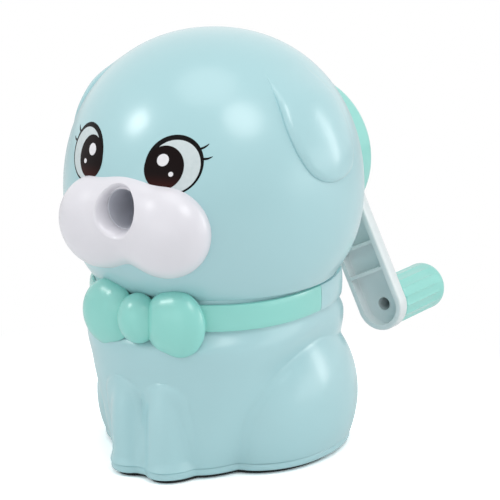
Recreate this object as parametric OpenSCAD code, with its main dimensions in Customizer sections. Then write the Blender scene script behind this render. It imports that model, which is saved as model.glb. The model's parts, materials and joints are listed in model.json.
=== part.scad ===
// Hand-crank pencil sharpener in the shape of a sitting puppy.
// Frame: +Z up, the puppy looks along -Y, the origin lies on the table below the middle of the head.
// The pencil goes in along +Y, and the crank turns about the same line.

/* [Overall] */
// Height of the crown above the table
total_h = 115; // [113:0.5:118]
// Height of the pencil and crank line above the table
axis_z = 74.2; // [73.6:0.1:75]

/* [Head] */
// Radius of the head at its widest
head_r = 40.5; // [40.3:0.1:41.5]
// Height of the widest part of the head
head_mid_z = 72.1; // [71.5:0.1:72.7]
// Depth of the head's curve below its widest part
head_low = 36.6; // [36:0.1:37.5]
// Squareness of the head's side profile, where 2 is an ellipse
head_exp = 2.12; // [2.05:0.01:2.2]
// Wall of the head, body and rear cover
shell_t = 2.2; // [1.8:0.1:2.4]
// Depth of the slice that leaves a flat seat for the rear cover
rear_flat_d = 6; // [5.9:0.1:6.3]
// Depth of the head's rear shell
rear_shell_d = 9.5; // [9:0.5:10]
// How far the ears stand out from the side of the head
ear_t = 2.2; // [1.6:0.1:2.6]
// How far the ears' crown sinks into the head
ear_sink = 1.1; // [0.8:0.1:1.4]

/* [Muzzle] */
// Width of the muzzle
muzzle_w = 45; // [43:0.5:47]
// Height of the muzzle
muzzle_h = 22.7; // [22:0.1:23.6]
// How far the muzzle stands out from the head
muzzle_out = 5.5; // [4.5:0.1:6]
// Diameter of the pencil hole
bore_d = 8.4; // [8.2:0.1:8.8]
// Diameter of the flared mouth of the pencil hole
mouth_d = 12; // [11.2:0.2:12.4]

/* [Body] */
// Half width of the body across the shoulders
body_a = 31.2; // [30.8:0.1:32]
// Half depth of the body at the shoulders
body_b = 37.6; // [37.2:0.1:38.4]
// Distance of the middle of the body behind the origin
body_mid_y = 1.2; // [0.8:0.1:1.6]
// Height where the head sits on the body
neck_z = 50; // [49.8:0.1:50.4]
// Thickness of the non-slip pad
pad_t = 1.2; // [1:0.1:1.6]
// Thickness of the bottom cover
base_t = 2.2; // [2:0.1:2.6]

/* [Collar and bow] */
// Height of the collar band
collar_h = 7.2; // [6.6:0.2:7.6]
// Thickness of the collar band
collar_t = 1.2; // [1:0.1:1.4]
// Distance of the collar's ends behind the origin
collar_end = 3.8; // [2:0.2:9]
// Width of the bow
bow_w = 37.4; // [36:0.2:39]
// Height of the bow
bow_h = 18.6; // [18:0.2:19.4]

/* [Drawer] */
// Width of the shavings drawer
drawer_w = 44; // [42:0.5:44.5]
// Height of the drawer's rim above the table
drawer_top_z = 16.7; // [15.5:0.1:16.8]
// Depth of the rump, which moves with the drawer
rump_d = 13.8; // [13.4:0.1:14.2]
// Wall of the drawer
drawer_t = 1.6; // [1.4:0.1:2]

/* [Mechanism] */
// Size of the gear teeth
gear_module = 1; // [0.98:0.01:1.01]
// Thickness of the pinion
pinion_t = 3; // [2.6:0.1:3.2]
// Play between the gear teeth, which the tilt of the cutter needs
gear_play = 0.7; // [0.6:0.05:0.8]
// Tilt of the cutter to the pencil
cutter_tilt = 9.5; // [9:0.1:10]
// Diameter of the helical cutter
cutter_d = 12.6; // [12.2:0.1:12.8]
// Length of the helical cutter
cutter_l = 24; // [23:0.2:25]
// Blades of the helical cutter
cutter_blades = 14; // [10:1:16]
// Diameter of the cutter's axle
axle_d = 3; // [2.6:0.1:3.2]
// Outside diameter of the mechanism barrel
barrel_d = 40.8; // [40.4:0.1:41]
// Wall of the mechanism barrel
barrel_t = 1.8; // [1.6:0.1:2]

/* [Crank] */
// Distance from the crank's axis to the grip's axis
arm_l = 49.3; // [48.5:0.1:49.8]
// Width of the arm
arm_w = 14.4; // [14:0.2:14.8]
// Thickness of the arm
arm_t = 4.6; // [4.2:0.1:5.2]
// Lean of the arm from straight down
arm_lean = 26; // [10:1:40]
// Rim round the hollow side of the arm
arm_rim = 1.6; // [1.4:0.1:2]
// Gap between the rear cover and the arm's plate
arm_gap = 4.5; // [4.1:0.1:4.9]
// Diameter of the grip
grip_d = 13.8; // [13.2:0.2:14]
// Length of the grip
grip_l = 23; // [22:0.5:24]
// Flutes round the grip
grip_flutes = 16; // [12:1:18]
// Diameter of the rear cover
cover_d = 44.6; // [44:0.1:44.8]
// Length of the rear cover
cover_l = 13; // [12:0.5:14]
// Diameter of the crank shaft
shaft_d = 6; // [5.6:0.1:6.2]

/* [Clearances] */
// Running clearance on the radius of a shaft
run_gap = 0.05; // [0.03:0.01:0.08]
// Gap between neighbouring covers
seam_gap = 0.15; // [0.1:0.05:0.2]
// Gap round the drawer
slide_gap = 0.3; // [0.25:0.05:0.4]

/* [Hidden] */

$fn = 64;
big = 200;
cut = 0.01;

// Colours
shell_colour = "#b0d4d9";
white_colour = "#e4e2ee";
mint_colour = "#8fd8c4";
rubber_colour = "#202224";
frame_colour = "#d5d8dc";
steel_colour = "#b8bcc2";
cutter_colour = "#8f949b";
brass_colour = "#c9a65a";

// Heights of the base, from the table up
base_z = pad_t;
body_z = base_z + base_t;
collar_z = neck_z - collar_h - 1.1;

// Half width and half depth of the body by height, as shares of the shoulders
body_exp = 2.3;
width_curve = [[0, 0.77], [0.15, 0.87], [0.33, 0.92], [0.55, 0.96], [0.72, 1], [0.83, 0.975], [1, 0.975]];
front_curve = [[0, 0.87], [0.15, 0.89], [0.33, 0.92], [0.55, 0.97], [0.72, 1], [0.83, 0.895], [1, 0.895]];
rear_curve = [[0, 0.93], [0.15, 0.96], [0.33, 0.99], [0.55, 1], [0.72, 1], [0.83, 0.895], [1, 0.895]];
neck_a = body_a * 0.975;
neck_b = body_b * 0.895;
bow_y = -neck_b - 1;
bow_z = collar_z + collar_h / 2 - 1.2;
shoulder_z = base_z + 0.72 * (neck_z - base_z);

// Bulges of the body: middle and radii of each, mirrored to the other side
haunch = [[16.6, 6.5, 13.9], [19, 27.7, 26.1]];
leg = [[5.4, -24, 0], [7.2, 12.9, 42]];
foot = [[5.6, -27.3, 1.2], [7.4, 9.7, 8]];
chest = [[0, -24, 0], [8, 11.4, 36]];

// Ear: a flap that hangs from the crown, seen from the side
ear_low = [-8.6, 91.2];
ear_low_r = 9.6;
ear_top = [-3.6, 107];
ear_top_r = 8.4;

// Screws
screw_r = 1.2;
screw_hole_r = 1.6;
screw_head_r = 2.8;
screw_head_h = 1.8;
boss_r = 3;
neck_screw_at = [[18.5, -18.5], [-18.5, -18.5], [9, 28], [-9, 28]];
base_screw_at = [[13, -18], [-13, -18], [27, 8], [-27, 8]];
neck_boss_h = axis_z - barrel_d / 2 - neck_z;
cover_screw_ring = 15.5;
cover_screw_turn = [90, 210, 330];
muzzle_screw_x = 12.5;
muzzle_screw_z = axis_z - 6.2;
muzzle_screw_l = 7;
muzzle_screw_y = 0.5 - sqrt(pow(head_r - shell_t, 2) - pow(muzzle_screw_x + screw_head_r, 2));

// Lip inside the head's seam
lip_t = 1.2;
lip_l = 3;

// Opening through the neck for the shavings
throat_w = 34;
throat_y = -8.5;
throat_d = 30;

// Places along the pencil line, from the muzzle to the arm
muzzle_y = head_r + muzzle_out;
guide_front_y = -head_r + 0.3;
rear_flat_y = head_r - rear_flat_d;
split_y = rear_flat_y - rear_shell_d;
inner_rear_y = rear_flat_y - shell_t;
gear_wall_y = inner_rear_y - 6.1;
ring_y = gear_wall_y - 6.2;
ring_front_y = ring_y - pinion_t / 2;
ring_t = 4.4;
guide_end_y = ring_y - 29;
frame_front_y = guide_end_y - 7;
frame_wall_t = 2.2;
cover_rear_y = rear_flat_y + cover_l;
arm_y = cover_rear_y + arm_gap;
guide_r = 7.5;
guide_nose_r = 5.6;
bush_r = 5;
hub_r = 7.5;

// Gears: the pinion rolls inside the fixed ring gear
ring_teeth = 24;
pinion_teeth = 12;
ring_pitch_r = gear_module * ring_teeth / 2;
pinion_pitch_r = gear_module * pinion_teeth / 2;
orbit_r = ring_pitch_r - pinion_pitch_r;
ring_outer_r = 16.5;
cutter_r = cutter_d / 2;
axle_r = axle_d / 2;
cutter_start = (pinion_t / 2 + 0.3 + cutter_r * sin(cutter_tilt)) / cos(cutter_tilt);
cutter_end = cutter_start + cutter_l;
carrier_disk_y = ring_y + 3;
carrier_disk_t = 2.5;
carrier_r = ring_pitch_r - gear_module - 0.7;

// Drawer
drawer_front_y = body_mid_y + body_b - rump_d;
drawer_back_y = -10.6;
drawer_z = body_z + slide_gap;
drawer_in_y = haunch[0][1] + haunch[1][1] - 3.8;

// Crank
shaft_r = shaft_d / 2;
arm_r = arm_w / 2;
arm_back_y = arm_y + arm_t;
arm_floor_t = 1.6;
shaft_end_y = arm_back_y - 2.3;
spindle_r = 3.2;
spindle_end_y = arm_back_y + grip_l - 4;
grip_y = arm_back_y + 0.3;
rib_step = 8.1;

// ---------- shared shapes ----------

function power(v, p) = sign(v) * pow(abs(v), p);

// Outline of an oval with half width a and half depth b
function oval(a, b, count = 72) = [
    for (i = [0:count - 1])
        let (t = 360 * i / count)
        [a * power(cos(t), 2 / body_exp), body_mid_y + b * power(sin(t), 2 / body_exp)]
];

// Distance from the body's middle line to the oval in direction p
function oval_r(p, a, b) =
    pow(pow(abs(cos(p)) / a, body_exp) + pow(abs(sin(p)) / b, body_exp), -1 / body_exp);

// Distance from the body's middle line to the far side of a bulge, or 0 where it is missed
function bulge_r(p, z, side, bulge) =
    let (
        c = bulge[0],
        r = bulge[1],
        u = [cos(p) / r[0], sin(p) / r[1]],
        o = [-side * c[0] / r[0], (body_mid_y - c[1]) / r[1]],
        d = pow(u * o, 2) - (u * u) * (o * o + pow((z - c[2]) / r[2], 2) - 1)
    )
    d > 0 ? (sqrt(d) - u * o) / (u * u) : 0;

// Distance from the body's middle line to its skin
function skin_r(p, z) =
    let (
        s = (z - base_z) / (neck_z - base_z),
        depth = body_b * lookup(s, sin(p) < 0 ? front_curve : rear_curve),
        core = oval_r(p, body_a * lookup(s, width_curve), depth),
        side = cos(p) < 0 ? -1 : 1,
        bulges = [for (bulge = [haunch, leg, foot, chest]) bulge_r(p, z, side, bulge)]
    )
    max(core, max(bulges));

function skin_ring(z, inset, count) = [
    for (i = [0:count - 1])
        let (p = 360 * i / count, r = skin_r(p, z) - inset)
        [r * cos(p), body_mid_y + r * sin(p), z]
];

// Solid through a stack of rings round the body's middle line, lowest first
module loft(rings) {
    n = len(rings[0]);
    top = (len(rings) - 1) * n;
    middle = top + n;
    sides = [
        for (i = [0:len(rings) - 2], j = [0:n - 1])
            let (a = i * n + j, b = i * n + (j + 1) % n)
            each [[a, a + n, b + n], [a, b + n, b]]
    ];
    caps = [
        for (j = [0:n - 1])
            let (k = (j + 1) % n)
            each [[middle, j, k], [middle + 1, top + k, top + j]]
    ];
    ends = [for (ring = [rings[0], rings[len(rings) - 1]]) [0, body_mid_y, ring[0][2]]];
    polyhedron(concat([for (ring = rings) each ring], ends), concat(caps, sides), convexity = 6);
}

// Heights of the rings, as shares of the body's height
body_levels = [0, 0.035, 0.08, 0.13, 0.19, 0.26, 0.33, 0.4, 0.48, 0.56, 0.64, 0.72, 0.78, 0.83, 1];
cavity_levels = [0.1, 0.24, 0.4, 0.56, 0.72, 0.83, 1];

module body_solid() {
    loft([for (h = body_levels) skin_ring(body_z + h * (neck_z - body_z), 0, 72)]);
}

module body_cavity() {
    top = neck_z - shell_t;
    foot_ring = skin_ring(body_z + 1, shell_t, 36);
    loft(concat(
        [for (z = [body_z - 2, body_z + 1]) [for (q = foot_ring) [q[0], q[1], z]]],
        [for (h = cavity_levels) skin_ring(body_z + h * (top - body_z), shell_t, 36)]
    ));
}

// Head: a turned shape, grown outwards or inwards by a wall
module head_solid(grow = 0) {
    steps = 20;
    r = head_r + grow;
    up = total_h - head_mid_z + grow;
    down = head_low + grow;
    profile = [
        for (i = [-steps:steps])
            let (t = 90 * i / steps, s = power(sin(t), 2 / head_exp))
            [abs(r * power(cos(t), 2 / head_exp)), s * (s > 0 ? up : down)]
    ];
    translate([0, 0, head_mid_z])
        rotate_extrude($fn = 96)
            polygon(profile);
}

// Turns a shape that stands on +Z to lie along the pencil line, starting at y
module along(y, x = 0, z = axis_z) {
    translate([x, y, z])
        rotate([-90, 0, 0])
            children();
}

// The cutter's own line, from the middle of the pinion towards the pencil
module on_cutter_line(at = 0) {
    along(ring_y)
        translate([0, orbit_r, 0])
            rotate([cutter_tilt, 0, 0])
                rotate([180, 0, 0])
                    translate([0, 0, at])
                        children();
}

// Places the children at the grip's axis
module at_grip() {
    translate([arm_l * sin(arm_lean), 0, axis_z - arm_l * cos(arm_lean)])
        children();
}

module tube(outer, inner, h) {
    difference() {
        cylinder(r = outer, h = h);
        translate([0, 0, -cut])
            cylinder(r = inner, h = h + 2 * cut);
    }
}

module screw(length) {
    cylinder(r = screw_r, h = length, $fn = 24);
    translate([0, 0, -screw_head_h])
        cylinder(r = screw_head_r, h = screw_head_h, $fn = 32);
}

// Involute gear outline, where half is half a tooth's angle on the pitch circle
function involute(a) = tan(a) * 180 / PI - a;

function flank(r, pitch_r, half) =
    half + involute(20) - involute(acos(min(1, pitch_r * cos(20) / r)));

function gear_outline(teeth, low_r, high_r, thicker) =
    let (
        pitch_r = gear_module * teeth / 2,
        half = 90 / teeth + thicker / 2 / pitch_r * 180 / PI,
        radii = [for (i = [0:4]) low_r + (high_r - low_r) * i / 4]
    )
    [
        for (k = [0:teeth - 1], side = [-1, 1], i = [0:4])
            let (
                r = radii[side < 0 ? i : 4 - i],
                a = 360 * k / teeth + side * flank(r, pitch_r, half)
            )
            [r * cos(a), r * sin(a)]
    ];

// ---------- head ----------

module ear_cut(side) {
    dy = ear_top[0] - ear_low[0];
    dz = ear_top[1] - ear_low[1];
    reach = sqrt(dy * dy + dz * dz);
    lean = atan2(dz, dy);
    taper = asin((ear_low_r - ear_top_r) / reach);
    outline = concat(
        [for (i = [0:24]) let (a = lean + 90 - taper + i * (180 + 2 * taper) / 24)
            [ear_low[0] + ear_low_r * cos(a), ear_low[1] + ear_low_r * sin(a)]],
        [for (i = [0:18]) let (a = lean - 90 + taper + i * (180 - 2 * taper) / 18)
            [ear_top[0] + ear_top_r * cos(a), ear_top[1] + ear_top_r * sin(a)]]
    );
    translate([side > 0 ? 15 : -15 - big, 0, 0])
        rotate([90, 0, 90])
            linear_extrude(big)
                polygon(outline);
}

module head_outer() {
    head_solid();
    for (side = [-1, 1])
        intersection() {
            translate([side * ear_t, -ear_t / 3, -ear_sink])
                head_solid();
            ear_cut(side);
        }
}

// Whole hollow head before it is parted into front and rear
module head_hollow() {
    difference() {
        head_outer();
        difference() {
            head_solid(-shell_t);
            translate([-big / 2, -big / 2, neck_z + shell_t - big])
                cube(big);
            translate([-big / 2, inner_rear_y, 0])
                cube(big);
        }
        translate([-big / 2, -big / 2, neck_z - big])
            cube(big);
        translate([-big / 2, rear_flat_y, 0])
            cube(big);
        translate([-throat_w / 2, throat_y, neck_z - cut])
            cube([throat_w, throat_d, shell_t + 2 * cut]);
    }
}

module neck_boss(at) {
    difference() {
        translate([at[0], at[1], neck_z])
            cylinder(r = boss_r, h = neck_boss_h, $fn = 32);
        neck_pilot(at);
    }
}

module neck_pilot(at) {
    translate([at[0], at[1], neck_z - cut])
        cylinder(r = screw_r, h = neck_boss_h - 0.3, $fn = 24);
}

module head_shell() {
    color(shell_colour) {
        difference() {
            intersection() {
                head_hollow();
                translate([-big / 2, split_y - big, 0])
                    cube(big);
            }
            along(-head_r - 1)
                cylinder(r = guide_nose_r + seam_gap, h = 12);
            for (side = [-1, 1])
                along(-head_r - 1, side * muzzle_screw_x, muzzle_screw_z)
                    cylinder(r = screw_hole_r, h = 14, $fn = 24);
            for (i = [0, 1])
                neck_pilot(neck_screw_at[i]);
        }
        for (i = [0, 1])
            neck_boss(neck_screw_at[i]);
    }
}

module head_rear_shell() {
    color(shell_colour) {
        difference() {
            intersection() {
                head_hollow();
                translate([-big / 2, split_y + seam_gap, 0])
                    cube(big);
            }
            along(inner_rear_y - 1)
                cylinder(r = hub_r + 1.2, h = shell_t + 2);
            for (a = cover_screw_turn)
                along(inner_rear_y - 1)
                    rotate(a)
                        translate([cover_screw_ring, 0, 0])
                            cylinder(r = screw_hole_r, h = shell_t + 2, $fn = 24);
            for (i = [2, 3])
                neck_pilot(neck_screw_at[i]);
        }
        for (i = [2, 3])
            neck_boss(neck_screw_at[i]);
        // Lip that locates the rear shell inside the front one
        head_band(shell_t + seam_gap, split_y - lip_l, split_y + 1);
        head_band(shell_t - 0.2, split_y + seam_gap, split_y + 2);
    }
}

// Band inside the head, from a depth below its skin, between two stations
module head_band(depth, from_y, to_y) {
    intersection() {
        difference() {
            head_solid(-depth);
            head_solid(-shell_t - seam_gap - lip_t);
        }
        translate([-big / 2, from_y, neck_z + shell_t + 8])
            cube([big, to_y - from_y, big]);
    }
}

module muzzle() {
    lobe_x = muzzle_w / 4 + 1.1;
    lobe_z = axis_z - 5.5;
    lobe_y = muzzle_y - 9.5;
    color(white_colour)
        difference() {
            for (side = [-1, 1])
                hull() {
                    translate([side * lobe_x, -lobe_y, lobe_z])
                        scale([muzzle_w / 2 - lobe_x, muzzle_y - lobe_y - 0.3, muzzle_h / 2 - 0.95])
                            sphere(r = 1, $fn = 32);
                    translate([0, -lobe_y, axis_z - 3.4])
                        scale([9, muzzle_y - lobe_y - 0.5, muzzle_h / 2 - 1.15])
                            sphere(r = 1, $fn = 32);
                }
            head_solid(cut);
            along(-muzzle_y - 1)
                cylinder(r = bore_d / 2, h = 12);
            along(-muzzle_y - 0.6)
                rotate_extrude()
                    polygon(concat(
                        [[0, 0]],
                        [for (i = [0:8]) let (a = 90 * i / 8)
                            [bore_d / 2 + (mouth_d - bore_d) / 2 * (1 - sin(a)), 3.4 * (1 - cos(a))]],
                        [[0, 3.4]]
                    ));
            for (side = [-1, 1])
                along(muzzle_screw_y - muzzle_screw_l - 0.3, side * muzzle_screw_x, muzzle_screw_z)
                    cylinder(r = screw_r, h = 8, $fn = 24);
        }
}

module muzzle_screws() {
    color(steel_colour)
        for (side = [-1, 1])
            translate([side * muzzle_screw_x, muzzle_screw_y, muzzle_screw_z])
                rotate([90, 0, 0])
                    screw(muzzle_screw_l);
}

module pencil_guide() {
    front_y = guide_front_y;
    nose_l = 4.5;
    color(frame_colour)
        along(front_y)
            difference() {
                union() {
                    cylinder(r = guide_nose_r, h = guide_end_y - front_y);
                    translate([0, 0, nose_l])
                        cylinder(r = guide_r, h = guide_end_y - front_y - nose_l);
                    translate([0, 0, frame_front_y - front_y - 2])
                        cylinder(r = guide_r + 2, h = 2);
                }
                translate([0, 0, -1])
                    cylinder(r = bore_d / 2, h = big);
            }
}

// ---------- body ----------

// Screw boss with a web that joins it to the wall
module base_boss(at) {
    web_t = 1.6;
    translate([at[0], at[1], 0])
        rotate(atan2(at[1] / 2, at[0])) {
            cylinder(r = boss_r, h = 14, $fn = 32);
            translate([0, -web_t / 2, 0])
                cube([12, web_t, 13]);
        }
}

module body_shell() {
    cavity_top = neck_z - shell_t;
    color(shell_colour)
        difference() {
            union() {
                body_solid();
                // The collar's line carries on round the back in the body's own colour
                difference() {
                    translate([0, 0, collar_z])
                        linear_extrude(collar_h)
                            polygon(oval(neck_a + collar_t, neck_b + collar_t));
                    translate([-big / 2, collar_end - big, 0])
                        cube(big);
                }
            }
            difference() {
                body_cavity();
                for (at = base_screw_at)
                    base_boss(at);
            }
            translate([-throat_w / 2, throat_y, cavity_top - cut])
                cube([throat_w, throat_d, big]);
            translate([-big / 2, drawer_front_y - seam_gap, 0])
                cube([big, big, drawer_top_z + seam_gap + 0.1]);
            for (at = base_screw_at)
                translate([at[0], at[1], 0])
                    cylinder(r = screw_r, h = 13, $fn = 24);
            for (at = neck_screw_at)
                translate([at[0], at[1], cavity_top - cut])
                    cylinder(r = screw_hole_r, h = 10, $fn = 24);
            along(-neck_b - 6, 0, collar_z + collar_h / 2)
                cylinder(r = 2 + run_gap, h = 16, $fn = 32);
        }
}

module collar() {
    color(mint_colour)
        difference() {
            translate([0, 0, collar_z])
                linear_extrude(collar_h)
                    polygon(oval(neck_a + collar_t, neck_b + collar_t));
            translate([0, 0, collar_z - 1])
                linear_extrude(collar_h + 2)
                    polygon(oval(neck_a + seam_gap, neck_b + seam_gap));
            translate([-big / 2, collar_end - seam_gap, 0])
                cube(big);
            along(-neck_b - 6, 0, collar_z + collar_h / 2)
                cylinder(r = 2 + run_gap, h = 12, $fn = 32);
        }
}

module bow_lobe(side) {
    half = bow_w / 2;
    hull() {
        for (end = [-1, 1])
            translate([side * (half - 5.6 + 0.2 * end), bow_y + 2.6, bow_z + end * (bow_h / 2 - 5.8)])
                rotate([0, side * end * 12, 0])
                    scale([5.4, 4.4, 5.8])
                        sphere(r = 1, $fn = 24);
        translate([side * 5.5, bow_y - 0.6, bow_z])
            scale([3, 3, 4.6])
                sphere(r = 1, $fn = 24);
    }
}

module bow_tie() {
    peg_y = -neck_b + 1;
    color(mint_colour) {
        difference() {
            union() {
                bow_lobe(-1);
                bow_lobe(1);
                translate([0, bow_y, bow_z])
                    rotate_extrude()
                        polygon([for (i = [-8:8]) let (t = 11.25 * i) [5.6 * cos(t), 6.7 * sin(t)]]);
            }
            // Its back follows the shoulders up to the collar
            hull() {
                for (z = [20, shoulder_z])
                    translate([0, 0, z])
                        linear_extrude(cut)
                            polygon(oval(body_a + seam_gap, body_b + seam_gap));
                translate([0, 0, collar_z])
                    linear_extrude(cut)
                        polygon(oval(neck_a + collar_t, neck_b + collar_t));
            }
            translate([0, 0, collar_z - cut])
                linear_extrude(neck_z - collar_z + 2 * cut)
                    polygon(oval(neck_a + collar_t, neck_b + collar_t));
            head_solid(seam_gap);
        }
        along(peg_y - 4, 0, collar_z + collar_h / 2)
            cylinder(r = 2, h = 6, $fn = 32);
    }
}

module base_outline(inset) {
    polygon([for (q = skin_ring(body_z, inset, 72)) [q[0], q[1]]]);
}

module base_plate() {
    rail_t = 1;
    rail_h = 3.6;
    color(shell_colour)
        difference() {
            union() {
                translate([0, 0, base_z])
                    linear_extrude(base_t)
                        base_outline(0.3);
                for (side = [-1, 1])
                    translate([
                        side * (drawer_w / 2 + slide_gap + rail_t / 2) - rail_t / 2,
                        drawer_back_y,
                        body_z
                    ])
                        cube([rail_t, drawer_front_y - drawer_back_y, rail_h]);
            }
            for (at = base_screw_at)
                translate([at[0], at[1], 0]) {
                    cylinder(r = screw_hole_r, h = 10, $fn = 24);
                    cylinder(r = screw_head_r + 0.3, h = base_z + 1.2, $fn = 32);
                }
        }
}

module base_pad() {
    color(rubber_colour)
        difference() {
            linear_extrude(pad_t)
                base_outline(1.3);
            for (at = base_screw_at)
                translate([at[0], at[1], -1])
                    cylinder(r = screw_head_r + 0.6, h = 4, $fn = 32);
        }
}

module base_screws() {
    color(steel_colour)
        for (at = base_screw_at)
            translate([at[0], at[1], base_z + 1.2])
                screw(10);
}

module shavings_drawer() {
    half = drawer_w / 2;
    color(shell_colour)
        difference() {
            union() {
                translate([-half, drawer_back_y, drawer_z])
                    cube([drawer_w, drawer_front_y - drawer_back_y + 1, drawer_top_z - drawer_z]);
                intersection() {
                    body_solid();
                    translate([-big / 2, drawer_front_y, drawer_z])
                        cube([big, big, drawer_top_z - drawer_z]);
                }
            }
            translate([-half + drawer_t, drawer_back_y + drawer_t, drawer_z + drawer_t])
                cube([drawer_w - 2 * drawer_t, drawer_in_y - drawer_back_y - drawer_t, big]);
            // Scoop for a finger under the rump
            translate([0, body_mid_y + body_b + 7, drawer_z + 4])
                rotate([0, 90, 0])
                    cylinder(r = 9, h = 20, center = true);
        }
}

module chip_funnel() {
    top_z = neck_z - shell_t;
    flange_t = 1.6;
    low_z = drawer_top_z + 1;
    color(frame_colour)
        difference() {
            union() {
                translate([0, 0, top_z - flange_t])
                    linear_extrude(flange_t)
                        polygon(oval(neck_a - shell_t - 1.4, neck_b - shell_t - 1.4));
                translate([-throat_w / 2 - flange_t, throat_y - flange_t, low_z])
                    cube([throat_w + 2 * flange_t, throat_d + 2 * flange_t, top_z - low_z]);
            }
            translate([-throat_w / 2, throat_y, low_z - 1])
                cube([throat_w, throat_d, big]);
            for (at = neck_screw_at)
                translate([at[0], at[1], top_z - 8])
                    cylinder(r = screw_hole_r, h = 12, $fn = 24);
        }
}

module neck_screws() {
    color(steel_colour)
        for (at = neck_screw_at)
            translate([at[0], at[1], neck_z - shell_t - 1.6])
                screw(shell_t + 1 + neck_boss_h);
}

// ---------- mechanism ----------

module mechanism_frame() {
    outer = barrel_d / 2;
    inner = outer - barrel_t;
    color(frame_colour)
        difference() {
            union() {
                // Barrel with its front wall
                along(frame_front_y)
                    difference() {
                        cylinder(r = outer, h = inner_rear_y - frame_front_y);
                        translate([0, 0, frame_wall_t])
                            cylinder(r = inner, h = big);
                    }
                // Seat of the ring gear and rear wall
                along(ring_front_y)
                    difference() {
                        cylinder(r = inner + cut, h = gear_wall_y + 2.4 - ring_front_y);
                        translate([0, 0, -cut])
                            cylinder(r = ring_outer_r, h = gear_wall_y - ring_front_y + cut);
                    }
                // Hub that carries the inner bush
                along(gear_wall_y)
                    cylinder(r = hub_r, h = 10);
                for (a = cover_screw_turn)
                    along(gear_wall_y)
                        rotate(a)
                            translate([cover_screw_ring, 0, 0])
                                cylinder(r = 3.7, h = inner_rear_y - gear_wall_y, $fn = 32);
            }
            along(frame_front_y - 1)
                cylinder(r = guide_r, h = frame_wall_t + 2);
            along(gear_wall_y - 1)
                cylinder(r = bush_r, h = 20);
            for (a = cover_screw_turn)
                along(gear_wall_y + 1.2)
                    rotate(a)
                        translate([cover_screw_ring, 0, 0])
                            cylinder(r = screw_r, h = 20, $fn = 24);
            // Shavings fall out through the window below
            translate([-throat_w / 2, throat_y, axis_z - outer - 1])
                cube([throat_w, ring_front_y - 2 - throat_y, outer - 6]);
        }
}

module ring_gear() {
    color(steel_colour)
        along(ring_front_y)
            difference() {
                cylinder(r = ring_outer_r, h = ring_t);
                translate([0, 0, -1])
                    linear_extrude(ring_t + 2)
                        rotate(90)
                            polygon(gear_outline(
                                ring_teeth,
                                ring_pitch_r - 0.9 * gear_module,
                                ring_pitch_r + 1.35 * gear_module,
                                gear_play / 2
                            ));
            }
}

module inner_bush() {
    color(brass_colour)
        along(gear_wall_y)
            tube(bush_r, shaft_r + run_gap, 10);
}

module outer_bush() {
    color(brass_colour)
        along(cover_rear_y - 7.5)
            tube(bush_r, shaft_r + run_gap, 7.5);
}

module cover_screws() {
    color(steel_colour)
        for (a = cover_screw_turn)
            translate([0, rear_flat_y + 4, axis_z])
                rotate([90, 0, 0])
                    rotate(-a)
                        translate([cover_screw_ring, 0, 0])
                            screw(10.5);
}

module rear_cover() {
    r = cover_d / 2;
    length = cover_rear_y - rear_flat_y;
    edge_r = 3;
    color(mint_colour)
        along(rear_flat_y)
            difference() {
                union() {
                    rotate_extrude()
                        polygon(concat(
                            [[0, length - shell_t], [r - shell_t, length - shell_t], [r - shell_t, 0], [r, 0]],
                            [for (i = [0:6]) let (t = 15 * i)
                                [r - edge_r + edge_r * cos(t), length - edge_r + edge_r * sin(t)]],
                            [[0, length]]
                        ));
                    translate([0, 0, length - 7.5])
                        cylinder(r = hub_r, h = 7);
                    for (a = cover_screw_turn)
                        rotate(a)
                            translate([cover_screw_ring, 0, 0])
                                cylinder(r = screw_head_r + 1.5, h = length - 1, $fn = 32);
                }
                translate([0, 0, -1])
                    cylinder(r = bush_r, h = big);
                for (a = cover_screw_turn)
                    rotate(a)
                        translate([cover_screw_ring, 0, 0]) {
                            translate([0, 0, -1])
                                cylinder(r = screw_hole_r, h = big, $fn = 24);
                            translate([0, 0, 4])
                                cylinder(r = screw_head_r + 0.3, h = big, $fn = 32);
                        }
            }
}

module cutter_carrier() {
    collar_front_y = guide_end_y - 4;
    collar_back_y = guide_end_y + 0.4;
    color(cutter_colour)
        difference() {
            union() {
                // Front ring that turns on the pencil guide
                along(collar_front_y)
                    cylinder(r = guide_r + 3, h = collar_back_y - collar_front_y);
                // Lug for the front end of the axle
                on_cutter_line(cutter_end + 0.4)
                    cylinder(r = 3.4, h = 4.4, $fn = 48);
                // Spine on the far side of the pencil
                intersection() {
                    along(collar_back_y - 1)
                        tube(carrier_r, 5.4, carrier_disk_y - collar_back_y + 2);
                    translate([-big / 2, -big / 2, axis_z + 2.2])
                        cube(big);
                }
                // Rear disk with the shaft's socket
                along(carrier_disk_y)
                    cylinder(r = carrier_r, h = carrier_disk_t);
            }
            along(collar_front_y - 1)
                cylinder(r = guide_r + run_gap, h = collar_back_y - collar_front_y + 2);
            along(carrier_disk_y - 1)
                cylinder(r = shaft_r, h = 10);
            on_cutter_line(-5.4)
                cylinder(r = axle_r, h = cutter_end + 9.6, $fn = 48);
        }
}

module cutter_axle() {
    color(steel_colour)
        on_cutter_line(-5.4)
            cylinder(r = axle_r, h = cutter_end + 9.6, $fn = 48);
}

module helical_cutter() {
    step = 360 / cutter_blades;
    depth = 0.9;
    profile = [
        for (k = [0:cutter_blades - 1], q = [[0, 0], [0.22, depth], [0.55, depth * 0.55]])
            let (a = (k + q[0]) * step, r = cutter_r - q[1])
            [r * cos(a), r * sin(a)]
    ];
    color(cutter_colour)
        on_cutter_line(cutter_start)
            difference() {
                linear_extrude(cutter_l, twist = 75, slices = 16)
                    polygon(profile);
                translate([0, 0, -1])
                    cylinder(r = axle_r + run_gap, h = cutter_l + 2, $fn = 48);
            }
}

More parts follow.
